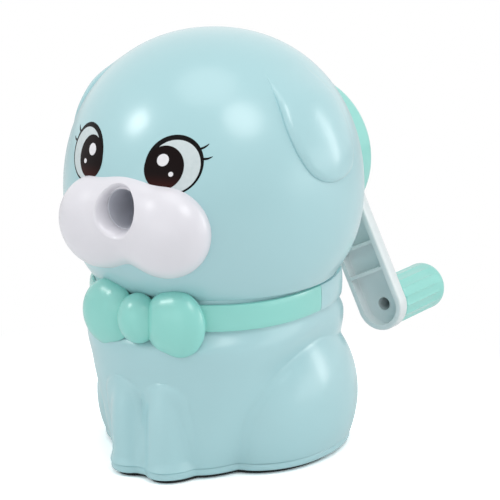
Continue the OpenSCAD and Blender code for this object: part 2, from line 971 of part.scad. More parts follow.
module cutter_pinion() {
    color(steel_colour)
        on_cutter_line(-pinion_t / 2)
            difference() {
                union() {
                    linear_extrude(pinion_t + 0.2)
                        rotate(90)
                            polygon(gear_outline(
                                pinion_teeth,
                                pinion_pitch_r - 1.15 * gear_module,
                                pinion_pitch_r + 0.8 * gear_module,
                                -gear_play / 2
                            ));
                    // Shoulder that meets the cutter
                    cylinder(r = axle_r + 1.6, h = cutter_start + pinion_t / 2);
                }
                translate([0, 0, -1])
                    cylinder(r = axle_r + run_gap, h = pinion_t + 6, $fn = 48);
            }
}

// ---------- crank ----------

// Flat on the shaft's end, which the arm's hub grips
module shaft_outline(r) {
    difference() {
        circle(r = r);
        translate([r * 0.75, -big / 2])
            square(big);
    }
}

module crank_shaft() {
    color(steel_colour)
        difference() {
            union() {
                along(carrier_disk_y)
                    cylinder(r = shaft_r, h = cover_rear_y + 0.5 - carrier_disk_y);
                along(cover_rear_y + 0.5)
                    linear_extrude(shaft_end_y - cover_rear_y - 0.5)
                        shaft_outline(shaft_r);
            }
            along(shaft_end_y - 8)
                cylinder(r = 1.5, h = 10, $fn = 24);
        }
}

module shaft_clip() {
    color(steel_colour)
        along(gear_wall_y + 10.2)
            difference() {
                tube(5.4, shaft_r, 0.8);
                translate([-1.6, -10, -1])
                    cube([3.2, 10 - shaft_r + 0.6, 3]);
            }
}

module crank_arm() {
    color(white_colour)
        difference() {
            union() {
                // Plate with its back edges rounded over
                hull() {
                    along(arm_y)
                        arm_puck();
                    at_grip()
                        along(arm_y, 0, 0)
                            arm_puck();
                }
                along(cover_rear_y + 0.5)
                    cylinder(r = arm_r - 0.4, h = arm_y - cover_rear_y);
                at_grip()
                    along(arm_back_y - 1, 0, 0)
                        cylinder(r = spindle_r, h = spindle_end_y - arm_back_y + 1);
            }
            // Hollow side with its ribs
            translate([0, arm_y - 1, axis_z])
                rotate([0, -arm_lean, 0])
                    arm_pocket();
            at_grip()
                along(arm_y, 0, 0)
                    cylinder(r = 1.9, h = arm_t + 12);
            at_grip()
                along(spindle_end_y - 6, 0, 0)
                    cylinder(r = screw_r, h = 10, $fn = 24);
            along(cover_rear_y)
                linear_extrude(shaft_end_y - cover_rear_y)
                    shaft_outline(shaft_r);
            along(shaft_end_y - 1)
                cylinder(r = 1.7, h = 10, $fn = 24);
            along(arm_back_y - 2)
                cylinder(r = 4.4, h = 10, $fn = 48);
        }
}

module arm_puck() {
    edge_r = 1.2;
    rotate_extrude($fn = 48)
        polygon(concat(
            [[0, 0], [arm_r - 0.4, 0], [arm_r, 0.4]],
            [for (i = [0:4]) let (t = 22.5 * i)
                [arm_r - edge_r + edge_r * cos(t), arm_t - edge_r + edge_r * sin(t)]],
            [[0, arm_t]]
        ));
}

module arm_pocket() {
    depth = arm_t - arm_floor_t + 1;
    r = arm_r - arm_rim;
    ribs = floor((arm_l - arm_r - 4) / rib_step);
    difference() {
        union() {
            translate([-r, 0, -arm_l])
                cube([2 * r, depth, arm_l]);
            translate([0, 0, -arm_l])
                rotate([-90, 0, 0])
                    cylinder(r = r, h = depth);
        }
        translate([0, -1, 0])
            rotate([-90, 0, 0])
                cylinder(r = arm_r, h = depth + 2);
        for (i = [1:ribs])
            translate([-r - 1, 1, -arm_l + 1.4 + i * rib_step])
                cube([2 * r + 2, depth, 1]);
    }
}

module hub_screw() {
    color(steel_colour)
        along(shaft_end_y - 7) {
            cylinder(r = 1.5, h = arm_back_y - 2 - shaft_end_y + 7, $fn = 24);
            translate([0, 0, arm_back_y - 2 - shaft_end_y + 7])
                cylinder(r = 3.6, h = 1.7, $fn = 48);
        }
}

module crank_grip() {
    r = grip_d / 2;
    edge_r = 1.6;
    length = grip_l;
    color(mint_colour)
        at_grip()
            along(grip_y, 0, 0)
                difference() {
                    rotate_extrude()
                        polygon(concat(
                            [[0, 0], [r - 0.5, 0], [r, 0.5]],
                            [for (i = [0:5]) let (t = 18 * i)
                                [r - edge_r + edge_r * cos(t), length - edge_r + edge_r * sin(t)]],
                            [[0, length]]
                        ));
                    translate([0, 0, -1])
                        cylinder(r = spindle_r + run_gap, h = big);
                    translate([0, 0, spindle_end_y - grip_y - 0.2])
                        cylinder(r = 4.6, h = big);
                    for (i = [0:grip_flutes - 1])
                        rotate(360 * (i + 0.5) / grip_flutes)
                            translate([r + 0.55, 0, -1])
                                cylinder(r = 1.05, h = length + 2, $fn = 24);
                }
}

module grip_screw() {
    color(steel_colour)
        at_grip()
            along(spindle_end_y + 1.5, 0, 0) {
                translate([0, 0, -1.5])
                    cylinder(r = 4, h = 1.5, $fn = 48);
                translate([0, 0, -6.5])
                    cylinder(r = screw_r, h = 6, $fn = 24);
            }
}

module grip_cap() {
    r = 4.6;
    start = grip_y + grip_l - 1.6;
    color(mint_colour)
        at_grip()
            along(start, 0, 0)
                rotate_extrude()
                    polygon(concat(
                        [[0, 0], [r, 0], [r, 1.6]],
                        [for (i = [0:6]) let (t = 15 * i) [r * cos(t), 1.6 + 1.4 * sin(t)]]
                    ));
}

head_shell();
head_rear_shell();
muzzle();
pencil_guide();
body_shell();
collar();
bow_tie();
base_plate();
base_pad();
shavings_drawer();
chip_funnel();
mechanism_frame();
ring_gear();
inner_bush();
outer_bush();
rear_cover();
cutter_carrier();
cutter_axle();
helical_cutter();
cutter_pinion();
crank_shaft();
shaft_clip();
crank_arm();
hub_screw();
crank_grip();
grip_screw();
grip_cap();
cover_screws();
neck_screws();
base_screws();
muzzle_screws();
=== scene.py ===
import json
from math import atan2, cos, hypot, pi, radians, sin, sqrt, tan

import bmesh
import bpy
from mathutils import Matrix, Vector


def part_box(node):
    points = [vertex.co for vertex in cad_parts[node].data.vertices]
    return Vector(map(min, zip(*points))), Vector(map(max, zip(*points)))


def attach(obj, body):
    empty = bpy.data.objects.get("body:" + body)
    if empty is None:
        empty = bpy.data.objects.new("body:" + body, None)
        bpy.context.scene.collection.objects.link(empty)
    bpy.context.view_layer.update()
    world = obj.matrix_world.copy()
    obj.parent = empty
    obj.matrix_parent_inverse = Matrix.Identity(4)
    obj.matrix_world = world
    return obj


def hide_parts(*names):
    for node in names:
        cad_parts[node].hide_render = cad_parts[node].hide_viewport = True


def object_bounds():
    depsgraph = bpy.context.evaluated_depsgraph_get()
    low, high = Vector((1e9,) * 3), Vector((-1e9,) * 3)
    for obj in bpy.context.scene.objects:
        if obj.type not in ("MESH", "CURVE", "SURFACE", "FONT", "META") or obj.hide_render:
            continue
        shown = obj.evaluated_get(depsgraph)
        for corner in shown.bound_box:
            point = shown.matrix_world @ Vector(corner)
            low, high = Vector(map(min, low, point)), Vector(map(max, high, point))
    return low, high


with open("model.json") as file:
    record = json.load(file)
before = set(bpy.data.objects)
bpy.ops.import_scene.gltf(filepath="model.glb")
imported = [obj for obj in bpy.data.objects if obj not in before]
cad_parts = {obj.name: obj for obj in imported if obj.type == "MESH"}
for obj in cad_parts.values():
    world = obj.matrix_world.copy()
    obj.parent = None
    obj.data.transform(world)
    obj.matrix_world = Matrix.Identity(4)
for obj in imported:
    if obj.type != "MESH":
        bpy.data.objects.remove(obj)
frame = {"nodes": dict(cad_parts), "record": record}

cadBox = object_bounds()
scene = bpy.context.scene
mm = 0.001


camera = {
    "place": (323.54, -475.93, 204.17),
    "target": (8.05, 5.28, 54.72),
    "lens": 158.4,
    "sensor": 36.0,
    "clip": (0.01, 20),
}

# azimuth and elevation are seen from the head, size and distance are in mm
lamps = {
    "keyLamp": {"azimuth": -42, "elevation": 37, "size": (190, 190), "distance": 700, "power": 0.85},
    "sideLamp": {"azimuth": 69, "elevation": 50, "size": (330, 330), "distance": 700, "power": 1.1},
    "rearLamp": {"azimuth": 133, "elevation": 14, "size": (140, 420), "distance": 700, "power": 0.6},
    "rightLamp": {"azimuth": 112, "elevation": 0, "size": (700, 500), "distance": 900, "power": 0.8},
    "frontLamp": {"azimuth": -5, "elevation": 2, "size": (700, 700), "distance": 900, "power": 0.6},
    "topLamp": {"azimuth": 10, "elevation": 82, "size": (600, 600), "distance": 900, "power": 1.3},
}

stage = {
    "floorSize": 3.0, "floorColour": 0.9, "seenColour": 1.7, "whiteFrom": 62, "whiteTo": 125,
    "ambient": 0.57, "ambientColour": (0.97, 0.99, 1), "lampCentre": (0, 0, 75),
}


def addObject(name, data):
    ob = bpy.data.objects.new(name, data)
    scene.collection.objects.link(ob)
    return ob


def makeCamera():
    data = bpy.data.cameras.new("mainCamera")
    data.lens = camera["lens"]
    data.sensor_width = camera["sensor"]
    data.clip_start, data.clip_end = camera["clip"]
    ob = addObject("mainCamera", data)
    ob.location = Vector(camera["place"]) * mm
    way = Vector(camera["target"]) - Vector(camera["place"])
    ob.rotation_euler = way.to_track_quat("-Z", "Y").to_euler()
    scene.camera = ob


def makeLamps():
    centre = Vector(stage["lampCentre"])
    for name, lamp in lamps.items():
        turn, rise = radians(lamp["azimuth"]), radians(lamp["elevation"])
        way = Vector((sin(turn) * cos(rise), -cos(turn) * cos(rise), sin(rise)))
        data = bpy.data.lights.new(name, "AREA")
        data.shape = "ELLIPSE"
        data.size, data.size_y = (size * mm for size in lamp["size"])
        data.energy = lamp["power"]
        ob = addObject(name, data)
        ob.location = (centre + way * lamp["distance"]) * mm
        ob.rotation_euler = (-way).to_track_quat("-Z", "Y").to_euler()


def addNode(tree, kind, **values):
    # a node with the values of some of its inputs
    node = tree.nodes.new("ShaderNode" + kind)
    for name, value in values.items():
        node.inputs[name].default_value = value
    return node


def makeWorld():
    # the camera and the reflections see white, and the object is lit by a dimmer sky
    world = bpy.data.worlds.new("paleRoom")
    scene.world = world
    world.use_nodes = True
    tree = world.node_tree
    tree.nodes.clear()
    link = tree.links.new
    path = addNode(tree, "LightPath")
    sky = addNode(tree, "Background", Color=(*stage["ambientColour"], 1), Strength=stage["ambient"])
    white = addNode(tree, "Background", Color=(1, 1, 1, 1))
    clear, seen = (addNode(tree, "Math") for _ in range(2))
    clear.operation = seen.operation = "MAXIMUM"
    mix = addNode(tree, "MixShader")
    out = addNode(tree, "OutputWorld")
    link(path.outputs["Is Glossy Ray"], clear.inputs[0])
    link(path.outputs["Is Transmission Ray"], clear.inputs[1])
    link(path.outputs["Is Camera Ray"], seen.inputs[0])
    link(clear.outputs[0], seen.inputs[1])
    link(seen.outputs[0], mix.inputs[0])
    link(sky.outputs[0], mix.inputs[1])
    link(white.outputs[0], mix.inputs[2])
    link(mix.outputs[0], out.inputs["Surface"])


def smoothFade(tree, low, high):
    # from 0 to 1 between two places in mm
    fade = tree.nodes.new("ShaderNodeMapRange")
    fade.interpolation_type = "SMOOTHSTEP"
    fade.inputs["From Min"].default_value = low * mm
    fade.inputs["From Max"].default_value = high * mm
    return fade


def whiteFloor():
    # white to the camera, apart from the soft shadow close to the object
    material = bpy.data.materials.new("paleFloor")
    material.use_nodes = True
    tree = material.node_tree
    tree.nodes.clear()
    link = tree.links.new
    path, place = addNode(tree, "LightPath"), addNode(tree, "TexCoord")
    far = addNode(tree, "VectorMath")
    far.operation = "LENGTH"
    fade = smoothFade(tree, stage["whiteFrom"], stage["whiteTo"])
    bounced = addNode(tree, "BsdfDiffuse", Color=(*[stage["floorColour"]] * 3, 1))
    seen = addNode(tree, "BsdfDiffuse", Color=(*[stage["seenColour"]] * 3, 1))
    white = addNode(tree, "Emission", Color=(1, 1, 1, 1))
    outer, choice = (addNode(tree, "MixShader") for _ in range(2))
    out = addNode(tree, "OutputMaterial")
    link(place.outputs["Object"], far.inputs[0])
    link(far.outputs["Value"], fade.inputs["Value"])
    link(fade.outputs["Result"], outer.inputs[0])
    link(seen.outputs[0], outer.inputs[1])
    link(white.outputs[0], outer.inputs[2])
    link(path.outputs["Is Camera Ray"], choice.inputs[0])
    link(bounced.outputs[0], choice.inputs[1])
    link(outer.outputs[0], choice.inputs[2])
    link(choice.outputs[0], out.inputs["Surface"])
    return material


def makeFloor():
    bm = bmesh.new()
    bmesh.ops.create_grid(bm, x_segments=1, y_segments=1, size=stage["floorSize"])
    bmesh.ops.translate(bm, verts=bm.verts, vec=(0, 0, cadBox[0].z))
    mesh = bpy.data.meshes.new("floor")
    bm.to_mesh(mesh)
    bm.free()
    mesh.materials.append(whiteFloor())
    ob = addObject("floor", mesh)


makeCamera()
makeLamps()
makeWorld()
makeFloor()
scene.view_settings.view_transform = "Standard"
print("camera, lamps and floor are in place")


def linear(colour):
    # from the 0 to 255 values of a colour picker
    parts = [c / 255 for c in colour]
    return [c / 12.92 if c < 0.04045 else ((c + 0.055) / 1.055) ** 2.4 for c in parts]


def startMaterial(name):
    material = bpy.data.materials.new(name)
    material.use_nodes = True
    tree = material.node_tree
    return material, tree, tree.nodes["Principled BSDF"]


def noiseOf(tree, scale, detail=2.0, stretch=(1, 1, 1)):
    place = addNode(tree, "TexCoord")
    mapping = addNode(tree, "Mapping", Scale=stretch)
    noise = addNode(tree, "TexNoise", Scale=scale, Detail=detail)
    tree.links.new(place.outputs["Object"], mapping.inputs["Vector"])
    tree.links.new(mapping.outputs["Vector"], noise.inputs["Vector"])
    return noise.outputs["Fac"]


def ranged(tree, value, low, high):
    # most of a noise lies between the first two numbers
    span = addNode(tree, "MapRange", **{"From Min": 0.3, "From Max": 0.7, "To Min": low, "To Max": high})
    tree.links.new(value, span.inputs["Value"])
    return span.outputs["Result"]


def tint(tree, shader, factor, first, second):
    # base colour from the first to the second
    mix = addNode(tree, "Mix")
    mix.data_type = "RGBA"
    mix.inputs["A"].default_value = (*first, 1)
    mix.inputs["B"].default_value = (*second, 1)
    tree.links.new(factor, mix.inputs["Factor"])
    tree.links.new(mix.outputs["Result"], shader.inputs["Base Color"])


def roughen(tree, shader, value, span):
    tree.links.new(ranged(tree, value, *span), shader.inputs["Roughness"])


def bumpFrom(tree, shader, height, strength, distance):
    bump = addNode(tree, "Bump", Strength=strength, Distance=distance * mm)
    tree.links.new(height, bump.inputs["Height"])
    tree.links.new(bump.outputs["Normal"], shader.inputs["Normal"])


plasticFinish = {"ior": 1.5, "coatRoughness": 0.34, "milkyDepth": 3, "peelDepth": 0.1, "peelScale": 420}


def mouldedPlastic(name, look):
    # the colour drifts a little with the flow of the melt, and the gloss has faint orange peel
    material, tree, shader = startMaterial(name)
    base = linear(look["colour"])
    darker = [c * (1 - look["drift"]) for c in base]
    lighter = [min(1, c * (1 + look["drift"])) for c in base]
    flow = ranged(tree, noiseOf(tree, 22, 2.0, (1, 1, 0.5)), 0, 1)
    tint(tree, shader, flow, darker, lighter)
    roughen(tree, shader, noiseOf(tree, 60), look["roughness"])
    shader.inputs["IOR"].default_value = plasticFinish["ior"]
    shader.inputs["Coat Weight"].default_value = look["coat"]
    shader.inputs["Coat Roughness"].default_value = plasticFinish["coatRoughness"]
    if "milky" in look:
        shader.inputs["Subsurface Weight"].default_value = look["milky"]
        shader.inputs["Subsurface Radius"].default_value = (1, 1, 1)
        shader.inputs["Subsurface Scale"].default_value = plasticFinish["milkyDepth"] * mm
    peel = noiseOf(tree, look.get("peelScale", plasticFinish["peelScale"]))
    bumpFrom(tree, shader, peel, look["peel"], plasticFinish["peelDepth"])
    return material


plastics = {
    "shell_plastic": {"colour": (170, 211, 216), "drift": 0.012, "roughness": (0.2, 0.26), "coat": 0.6,
                      "peel": 0.03},
    "white_plastic": {"colour": (228, 226, 232), "drift": 0.004, "roughness": (0.24, 0.27), "coat": 0.3,
                      "peel": 0.02},
    "mint_plastic": {"colour": (143, 216, 206), "drift": 0.014, "roughness": (0.2, 0.27), "coat": 0.5,
                     "peel": 0.03},
    "frame_plastic": {"colour": (206, 208, 216), "drift": 0.02, "roughness": (0.42, 0.52), "coat": 0,
                      "peel": 0.2, "peelScale": 900},
    # the thin walls of the arm let light through, so its hollow side isn't dark
    "arm_plastic": {"colour": (222, 228, 229), "drift": 0.004, "roughness": (0.24, 0.27), "coat": 0.2,
                    "peel": 0.02, "milky": 0.5},
}


def padRubber():
    material, tree, shader = startMaterial("pad_rubber")
    grain = noiseOf(tree, 1400, 4.0)
    tint(tree, shader, grain, (0.006, 0.006, 0.007), (0.022, 0.022, 0.024))
    roughen(tree, shader, grain, (0.7, 0.9))
    bumpFrom(tree, shader, grain, 0.5, 0.15)
    return material


metals = {
    # stretch draws the marks out along the way the piece was turned
    "gear_steel": {"dark": (0.40, 0.41, 0.43), "light": (0.58, 0.59, 0.61), "roughness": (0.28, 0.42),
                   "scale": 500, "stretch": 14},
    "cutter_steel": {"dark": (0.17, 0.175, 0.19), "light": (0.33, 0.34, 0.36), "roughness": (0.28, 0.4),
                     "scale": 700, "stretch": 6},
    "cast_metal": {"dark": (0.32, 0.33, 0.35), "light": (0.44, 0.45, 0.47), "roughness": (0.45, 0.62),
                   "scale": 900},
    "bush_brass": {"dark": (0.42, 0.25, 0.10), "light": (0.62, 0.40, 0.18), "roughness": (0.35, 0.5),
                   "scale": 1100},
    "screw_steel": {"dark": (0.50, 0.51, 0.53), "light": (0.66, 0.67, 0.69), "roughness": (0.28, 0.38),
                    "scale": 800},
}


def workedMetal(name, look):
    material, tree, shader = startMaterial(name)
    marks = noiseOf(tree, look["scale"], 4.0, (1, look.get("stretch", 1), 1))
    tint(tree, shader, ranged(tree, marks, 0, 1), look["dark"], look["light"])
    shader.inputs["Metallic"].default_value = 1.0
    roughen(tree, shader, marks, look["roughness"])
    bumpFrom(tree, shader, marks, 0.15, 0.05)
    return material


inks = {
    "ink_black": {"dark": (0.004, 0.004, 0.005), "light": (0.010, 0.009, 0.009)},
    "ink_white": {"dark": (0.60, 0.68, 0.69), "light": (0.66, 0.73, 0.74)},
    "ink_glint": {"dark": (0.78, 0.77, 0.79), "light": (0.84, 0.83, 0.85)},
}

inkFinish = {"specular": 0.07, "roughness": (0.28, 0.34), "roughnessScale": 500}

pupilInk = {"top": (0.008, 0.004, 0.004), "bottom": (0.045, 0.010, 0.008), "from": 84.5, "to": 79.5}


def finishInk(tree, shader):
    roughen(tree, shader, noiseOf(tree, inkFinish["roughnessScale"]), inkFinish["roughness"])
    shader.inputs["Specular IOR Level"].default_value = inkFinish["specular"]


def padPrintInk(name, look):
    # the ink lies a little unevenly, as a pad print does
    material, tree, shader = startMaterial(name)
    patches = ranged(tree, noiseOf(tree, 900, 3.0), 0, 1)
    tint(tree, shader, patches, look["dark"], look["light"])
    finishInk(tree, shader)
    bumpFrom(tree, shader, noiseOf(tree, 1500), 0.04, 0.05)
    return material


def makePupilInk():
    # near black, turning to a warm brown towards the muzzle
    material, tree, shader = startMaterial("ink_pupil")
    place, split = addNode(tree, "TexCoord"), addNode(tree, "SeparateXYZ")
    fade = smoothFade(tree, pupilInk["from"], pupilInk["to"])
    tree.links.new(place.outputs["Object"], split.inputs["Vector"])
    tree.links.new(split.outputs["Z"], fade.inputs["Value"])
    tint(tree, shader, fade.outputs["Result"], pupilInk["top"], pupilInk["bottom"])
    finishInk(tree, shader)
    return material


materials = {name: mouldedPlastic(name, look) for name, look in plastics.items()}
materials.update({name: workedMetal(name, look) for name, look in metals.items()})
materials.update({name: padPrintInk(name, look) for name, look in inks.items()})
materials["pad_rubber"] = padRubber()
materials["ink_pupil"] = makePupilInk()
print(len(materials), "materials are ready")


def smoothStep(low, high, value):
    t = min(1, max(0, (value - low) / (high - low)))
    return t * t * (3 - 2 * t)


def softMax(a, b, blend):
    return max(a, b) + max(blend - abs(a - b), 0) ** 2 / (4 * blend)


def curveAt(points, x):
    # smooth curve through (x, y) points
    if x <= points[0][0]:
        return points[0][1]
    if x >= points[-1][0]:
        return points[-1][1]
    i = max(k for k in range(len(points) - 1) if points[k][0] <= x)
    (x0, y0), (x1, y1) = points[i], points[i + 1]
    before, after = points[max(i - 1, 0)], points[min(i + 2, len(points) - 1)]
    slope0 = (y1 - before[1]) / (x1 - before[0])
    slope1 = (after[1] - y0) / (after[0] - x0)
    t, w = (x - x0) / (x1 - x0), x1 - x0
    return (y0 * (1 + 2 * t) * (1 - t) ** 2 + y1 * t * t * (3 - 2 * t)
            + w * slope0 * t * (1 - t) ** 2 + w * slope1 * t * t * (t - 1))


def allOf(bm):
    return bm.verts[:] + bm.edges[:] + bm.faces[:]


def vertsOf(geom):
    return [g for g in geom if isinstance(g, bmesh.types.BMVert)]


def cutAway(bm, point, normal, clear=True):
    # removes what lies beyond the plane, on the side its normal points to, or only scores the skin
    bmesh.ops.bisect_plane(bm, geom=allOf(bm), plane_co=point, plane_no=normal, dist=1e-5,
                           clear_outer=clear)


def fillHoles(bm):
    bmesh.ops.holes_fill(bm, edges=[e for e in bm.edges if e.is_boundary], sides=0)


def rimOf(bm, test):
    return [e for e in bm.edges if e.is_boundary and test(sum((v.co for v in e.verts), Vector()) / 2)]


def faceTowards(bm, way):
    # an open sheet's faces are turned to one side
    bmesh.ops.recalc_face_normals(bm, faces=bm.faces)
    if sum(f.normal.dot(way) for f in bm.faces) < 0:
        bmesh.ops.reverse_faces(bm, faces=bm.faces)


def thicken(bm, wall):
    # the skin's faces point outwards, and the wall grows inwards
    bmesh.ops.recalc_face_normals(bm, faces=bm.faces)
    bmesh.ops.solidify(bm, geom=bm.faces[:], thickness=wall)


def roundSharp(bm, angle, width, segments=2, test=lambda co: True):
    limit = radians(angle)
    sharp = [e for e in bm.edges if len(e.link_faces) == 2 and e.calc_face_angle(0) > limit
             and test(e.verts[0].co) and test(e.verts[1].co)]
    bmesh.ops.bevel(bm, geom=sharp, offset=width, offset_type="OFFSET", affect="EDGES",
                    segments=segments, profile=0.5, material=-1, clamp_overlap=True)


def finishPiece(name, bm, body="housing", slot="shell_plastic", replaced=(), material=None, sharpAngle=40):
    bmesh.ops.remove_doubles(bm, verts=bm.verts, dist=1e-4)
    bmesh.ops.recalc_face_normals(bm, faces=bm.faces)
    bmesh.ops.scale(bm, vec=(mm, mm, mm), verts=bm.verts)
    mesh = bpy.data.meshes.new(name)
    bm.to_mesh(mesh)
    bm.free()
    mesh.materials.append(materials[material or slot])
    mesh.shade_smooth()
    mesh.set_sharp_from_angle(angle=radians(sharpAngle))
    ob = addObject(name, mesh)
    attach(ob, body)
    if replaced:
        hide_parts(*replaced)
    print("made", name, len(mesh.polygons), "faces")


def asObject(bm):
    mesh = bpy.data.meshes.new("cutter")
    bm.to_mesh(mesh)
    bm.free()
    return addObject("cutter", mesh)


def combine(bm, other, operation):
    # boolean of two closed shapes, both given back to memory
    first, second = asObject(bm), asObject(other)
    step = first.modifiers.new("combine", "BOOLEAN")
    step.operation = operation
    step.object = second
    step.solver = "EXACT"
    depsgraph = bpy.context.evaluated_depsgraph_get()
    result = bmesh.new()
    result.from_mesh(first.evaluated_get(depsgraph).to_mesh())
    for ob in (first, second):
        mesh = ob.data
        bpy.data.objects.remove(ob)
        bpy.data.meshes.remove(mesh)
    return result


def ringStack(corners, rings, place, closeEnds=False, join=False):
    # pulls ring after ring out of a first circle, and place(k, turn) says where each corner goes
    bm = bmesh.new()
    corner = bm.verts.layers.int.new("corner")
    ring = bmesh.ops.create_circle(bm, segments=corners, radius=1)["verts"]
    for v in ring:
        v[corner] = round(atan2(v.co.y, v.co.x) * corners / (2 * pi)) % corners
    first = edges = bm.edges[:]
    for k in range(rings):
        if k:
            made = bmesh.ops.extrude_edge_only(bm, edges=edges)["geom"]
            ring = vertsOf(made)
            fresh = set(ring)
            near = {e for v in ring for e in v.link_edges}
            edges = [e for e in near if e.verts[0] in fresh and e.verts[1] in fresh]
        for v in ring:
            v.co = place(k, v[corner] * 2 * pi / corners)
    if join:
        bmesh.ops.bridge_loops(bm, edges=first + edges)
    if closeEnds:
        fillHoles(bm)
    return bm


def merged(parts):
    whole = bmesh.new()
    for part in parts:
        mesh = bpy.data.meshes.new("part")
        part.to_mesh(mesh)
        part.free()
        whole.from_mesh(mesh)
        bpy.data.meshes.remove(mesh)
    return whole


def lathe(section, segments, closed=False):
    # turns (radius, height) points about the Z axis
    bm = bmesh.new()
    verts = [bm.verts.new((r, 0, z)) for r, z in section]
    pairs = list(zip(verts, verts[1:])) + ([(verts[-1], verts[0])] if closed else [])
    edges = [bm.edges.new(pair) for pair in pairs]
    bmesh.ops.spin(bm, geom=verts + edges, cent=(0, 0, 0), axis=(0, 0, 1), steps=segments,
                   angle=2 * pi, use_merge=True, use_duplicate=False)
    bmesh.ops.remove_doubles(bm, verts=bm.verts, dist=1e-4)
    bmesh.ops.recalc_face_normals(bm, faces=bm.faces)
    return bm


def rod(radius, start, end, segments=48):
    # cylinder between two points
    bm = bmesh.new()
    start, end = Vector(start), Vector(end)
    way = end - start
    place = Matrix.Translation((start + end) / 2) @ way.to_track_quat("Z", "Y").to_matrix().to_4x4()
    bmesh.ops.create_cone(bm, cap_ends=True, segments=segments, radius1=radius, radius2=radius,
                          depth=way.length, matrix=place)
    return bm


def onLine(bm, x, z):
    # from the Z axis to a line along Y
    bmesh.ops.rotate(bm, verts=bm.verts, cent=(0, 0, 0), matrix=Matrix.Rotation(-pi / 2, 3, "X"))
    bmesh.ops.translate(bm, verts=bm.verts, vec=(x, 0, z))
    return bm


def block(low, high):
    bm = bmesh.new()
    low, high = Vector(low), Vector(high)
    place = Matrix.Translation((low + high) / 2) @ Matrix.Diagonal((*(high - low), 1))
    bmesh.ops.create_cube(bm, size=1, matrix=place)
    return bm


head = {
    "centre": 72.13, "halfWidth": 40.1, "halfDepth": 40.8, "up": 42.87, "down": 36.59, "exponent": 2.12,
    "cells": 84, "wall": 2.2, "seam": 25.0, "seamGap": 0.16, "rearFlat": 34.5, "bottom": 50.0,
    "pencilLine": 74.2, "noseHole": 5.75, "shaftHole": 8.7,
}

ear = {
    # once round the flap, in degrees: turn back from the side, and rise above the head's widest level
    "outline": [(-20.3, 67.9), (-23.6, 59), (-24.4, 50), (-24.9, 41), (-24.8, 33), (-23.3, 26),
                (-20.5, 19.6), (-16.6, 14.4), (-10.7, 11), (-3.5, 10), (4.8, 11.6), (10, 15.6),
                (12.6, 22), (14.3, 30), (15.9, 38.5), (16.1, 46.4), (14.6, 55), (9, 64), (-5, 70.5)],
    "spine": [(-3, 22), (-5, 54)],  # line down the middle of the flap
    "bank": 0.9, "bankWidth": 0.16, "height": 1.0, "lip": 0.25,  # how the edge rises, and the middle
    "fadeHigh": 109.5, "fadeLow": 98.0, "fadePower": 1.5, "sink": 0.03,  # it melts into the crown
    "edgeDepth": 0.9, "wall": 0.8, "corners": 240, "rings": 44, "ringPower": 1.5,
}


def headReach(way):
    flat = hypot(way.x / head["halfWidth"], way.y / head["halfDepth"])
    tall = abs(way.z) / (head["up"] if way.z > 0 else head["down"])
    return (flat ** head["exponent"] + tall ** head["exponent"]) ** (-1 / head["exponent"])


def headFront(x, z):
    # how far in front of the middle plane the head's face lies
    tall = abs(z - head["centre"]) / (head["up"] if z > head["centre"] else head["down"])
    flat = max(0, 1 - tall ** head["exponent"]) ** (2 / head["exponent"]) - (x / head["halfWidth"]) ** 2
    return head["halfDepth"] * sqrt(max(0, flat))


def wayTo(turn, rise):
    turn, rise = radians(turn), radians(rise)
    return Vector((cos(turn) * cos(rise), sin(turn) * cos(rise), sin(rise)))


def loopAt(points, share):
    # smooth closed curve through the points
    i, t = divmod(share * len(points), 1)
    a, b, c, d = (points[(int(i) + k) % len(points)] for k in (-1, 0, 1, 2))
    return b + ((c - a) * t + (2 * a - 5 * b + 4 * c - d) * t ** 2 + (3 * (b - c) + d - a) * t ** 3) / 2


def makeEars():
    centre = Vector((0, 0, head["centre"]))
    outline = [wayTo(*point) for point in ear["outline"]]
    low, high = (wayTo(*point) for point in ear["spine"])
    middle = (low + high) / 2

    def fromSpine(way):
        # distance to the line that runs down the middle of the flap
        along = min(1, max(0, (way - low).dot(high - low) / (high - low).length_squared))
        return (way - low.lerp(high, along)).length

    def place(k, turn):
        edge = loopAt(outline, turn / (2 * pi) % 1)
        share = (max(k - 1, 0) / (ear["rings"] - 2)) ** ear["ringPower"]
        way = edge.lerp(middle, share)
        inward = max(0, 1 - fromSpine(way) / fromSpine(edge))
        way = way.normalized()
        co = centre + way * headReach(way)
        fade = smoothStep(ear["fadeHigh"], ear["fadeLow"], co.z)
        if k == 0:
            # the edge goes on down into the head
            return co - way * ear["edgeDepth"]
        bank = sqrt(1 - (1 - min(1, inward / ear["bankWidth"])) ** 2)
        rise = ear["bank"] * bank + ear["height"] * (1 - (1 - inward) ** 2)
        return co + way * ((rise + ear["lip"]) * fade ** ear["fadePower"] - ear["sink"] * (1 - fade))

    flap = ringStack(ear["corners"], ear["rings"], place)
    bmesh.ops.remove_doubles(flap, verts=flap.verts, dist=1e-4)
    faceTowards(flap, Vector((1, 0, 0)))
    bmesh.ops.solidify(flap, geom=flap.faces[:], thickness=ear["wall"])
    bmesh.ops.mirror(flap, geom=allOf(flap), axis="X", merge_dist=-1)
    finishPiece("earFlaps", flap)


def headSkin():
    bm = bmesh.new()
    bmesh.ops.create_cube(bm, size=2)
    bmesh.ops.subdivide_edges(bm, edges=bm.edges[:], cuts=head["cells"] - 1, use_grid_fill=True)
    centre = Vector((0, 0, head["centre"]))
    for v in bm.verts:
        # even steps of angle over each side of the cube
        way = Vector([tan(c * pi / 4) if abs(c) < 1 else c for c in v.co]).normalized()
        v.co = centre + way * headReach(way)
    cutAway(bm, (0, 0, head["bottom"]), (0, 0, -1))
    # underside, open in the middle for the shavings
    low = rimOf(bm, lambda co: True)
    for v in vertsOf(bmesh.ops.extrude_edge_only(bm, edges=low)["geom"]):
        turn = atan2(v.co.y - skin["middle"], v.co.x)
        v.co = aroundBody(turn, throatReach(turn), head["bottom"])
    return bm


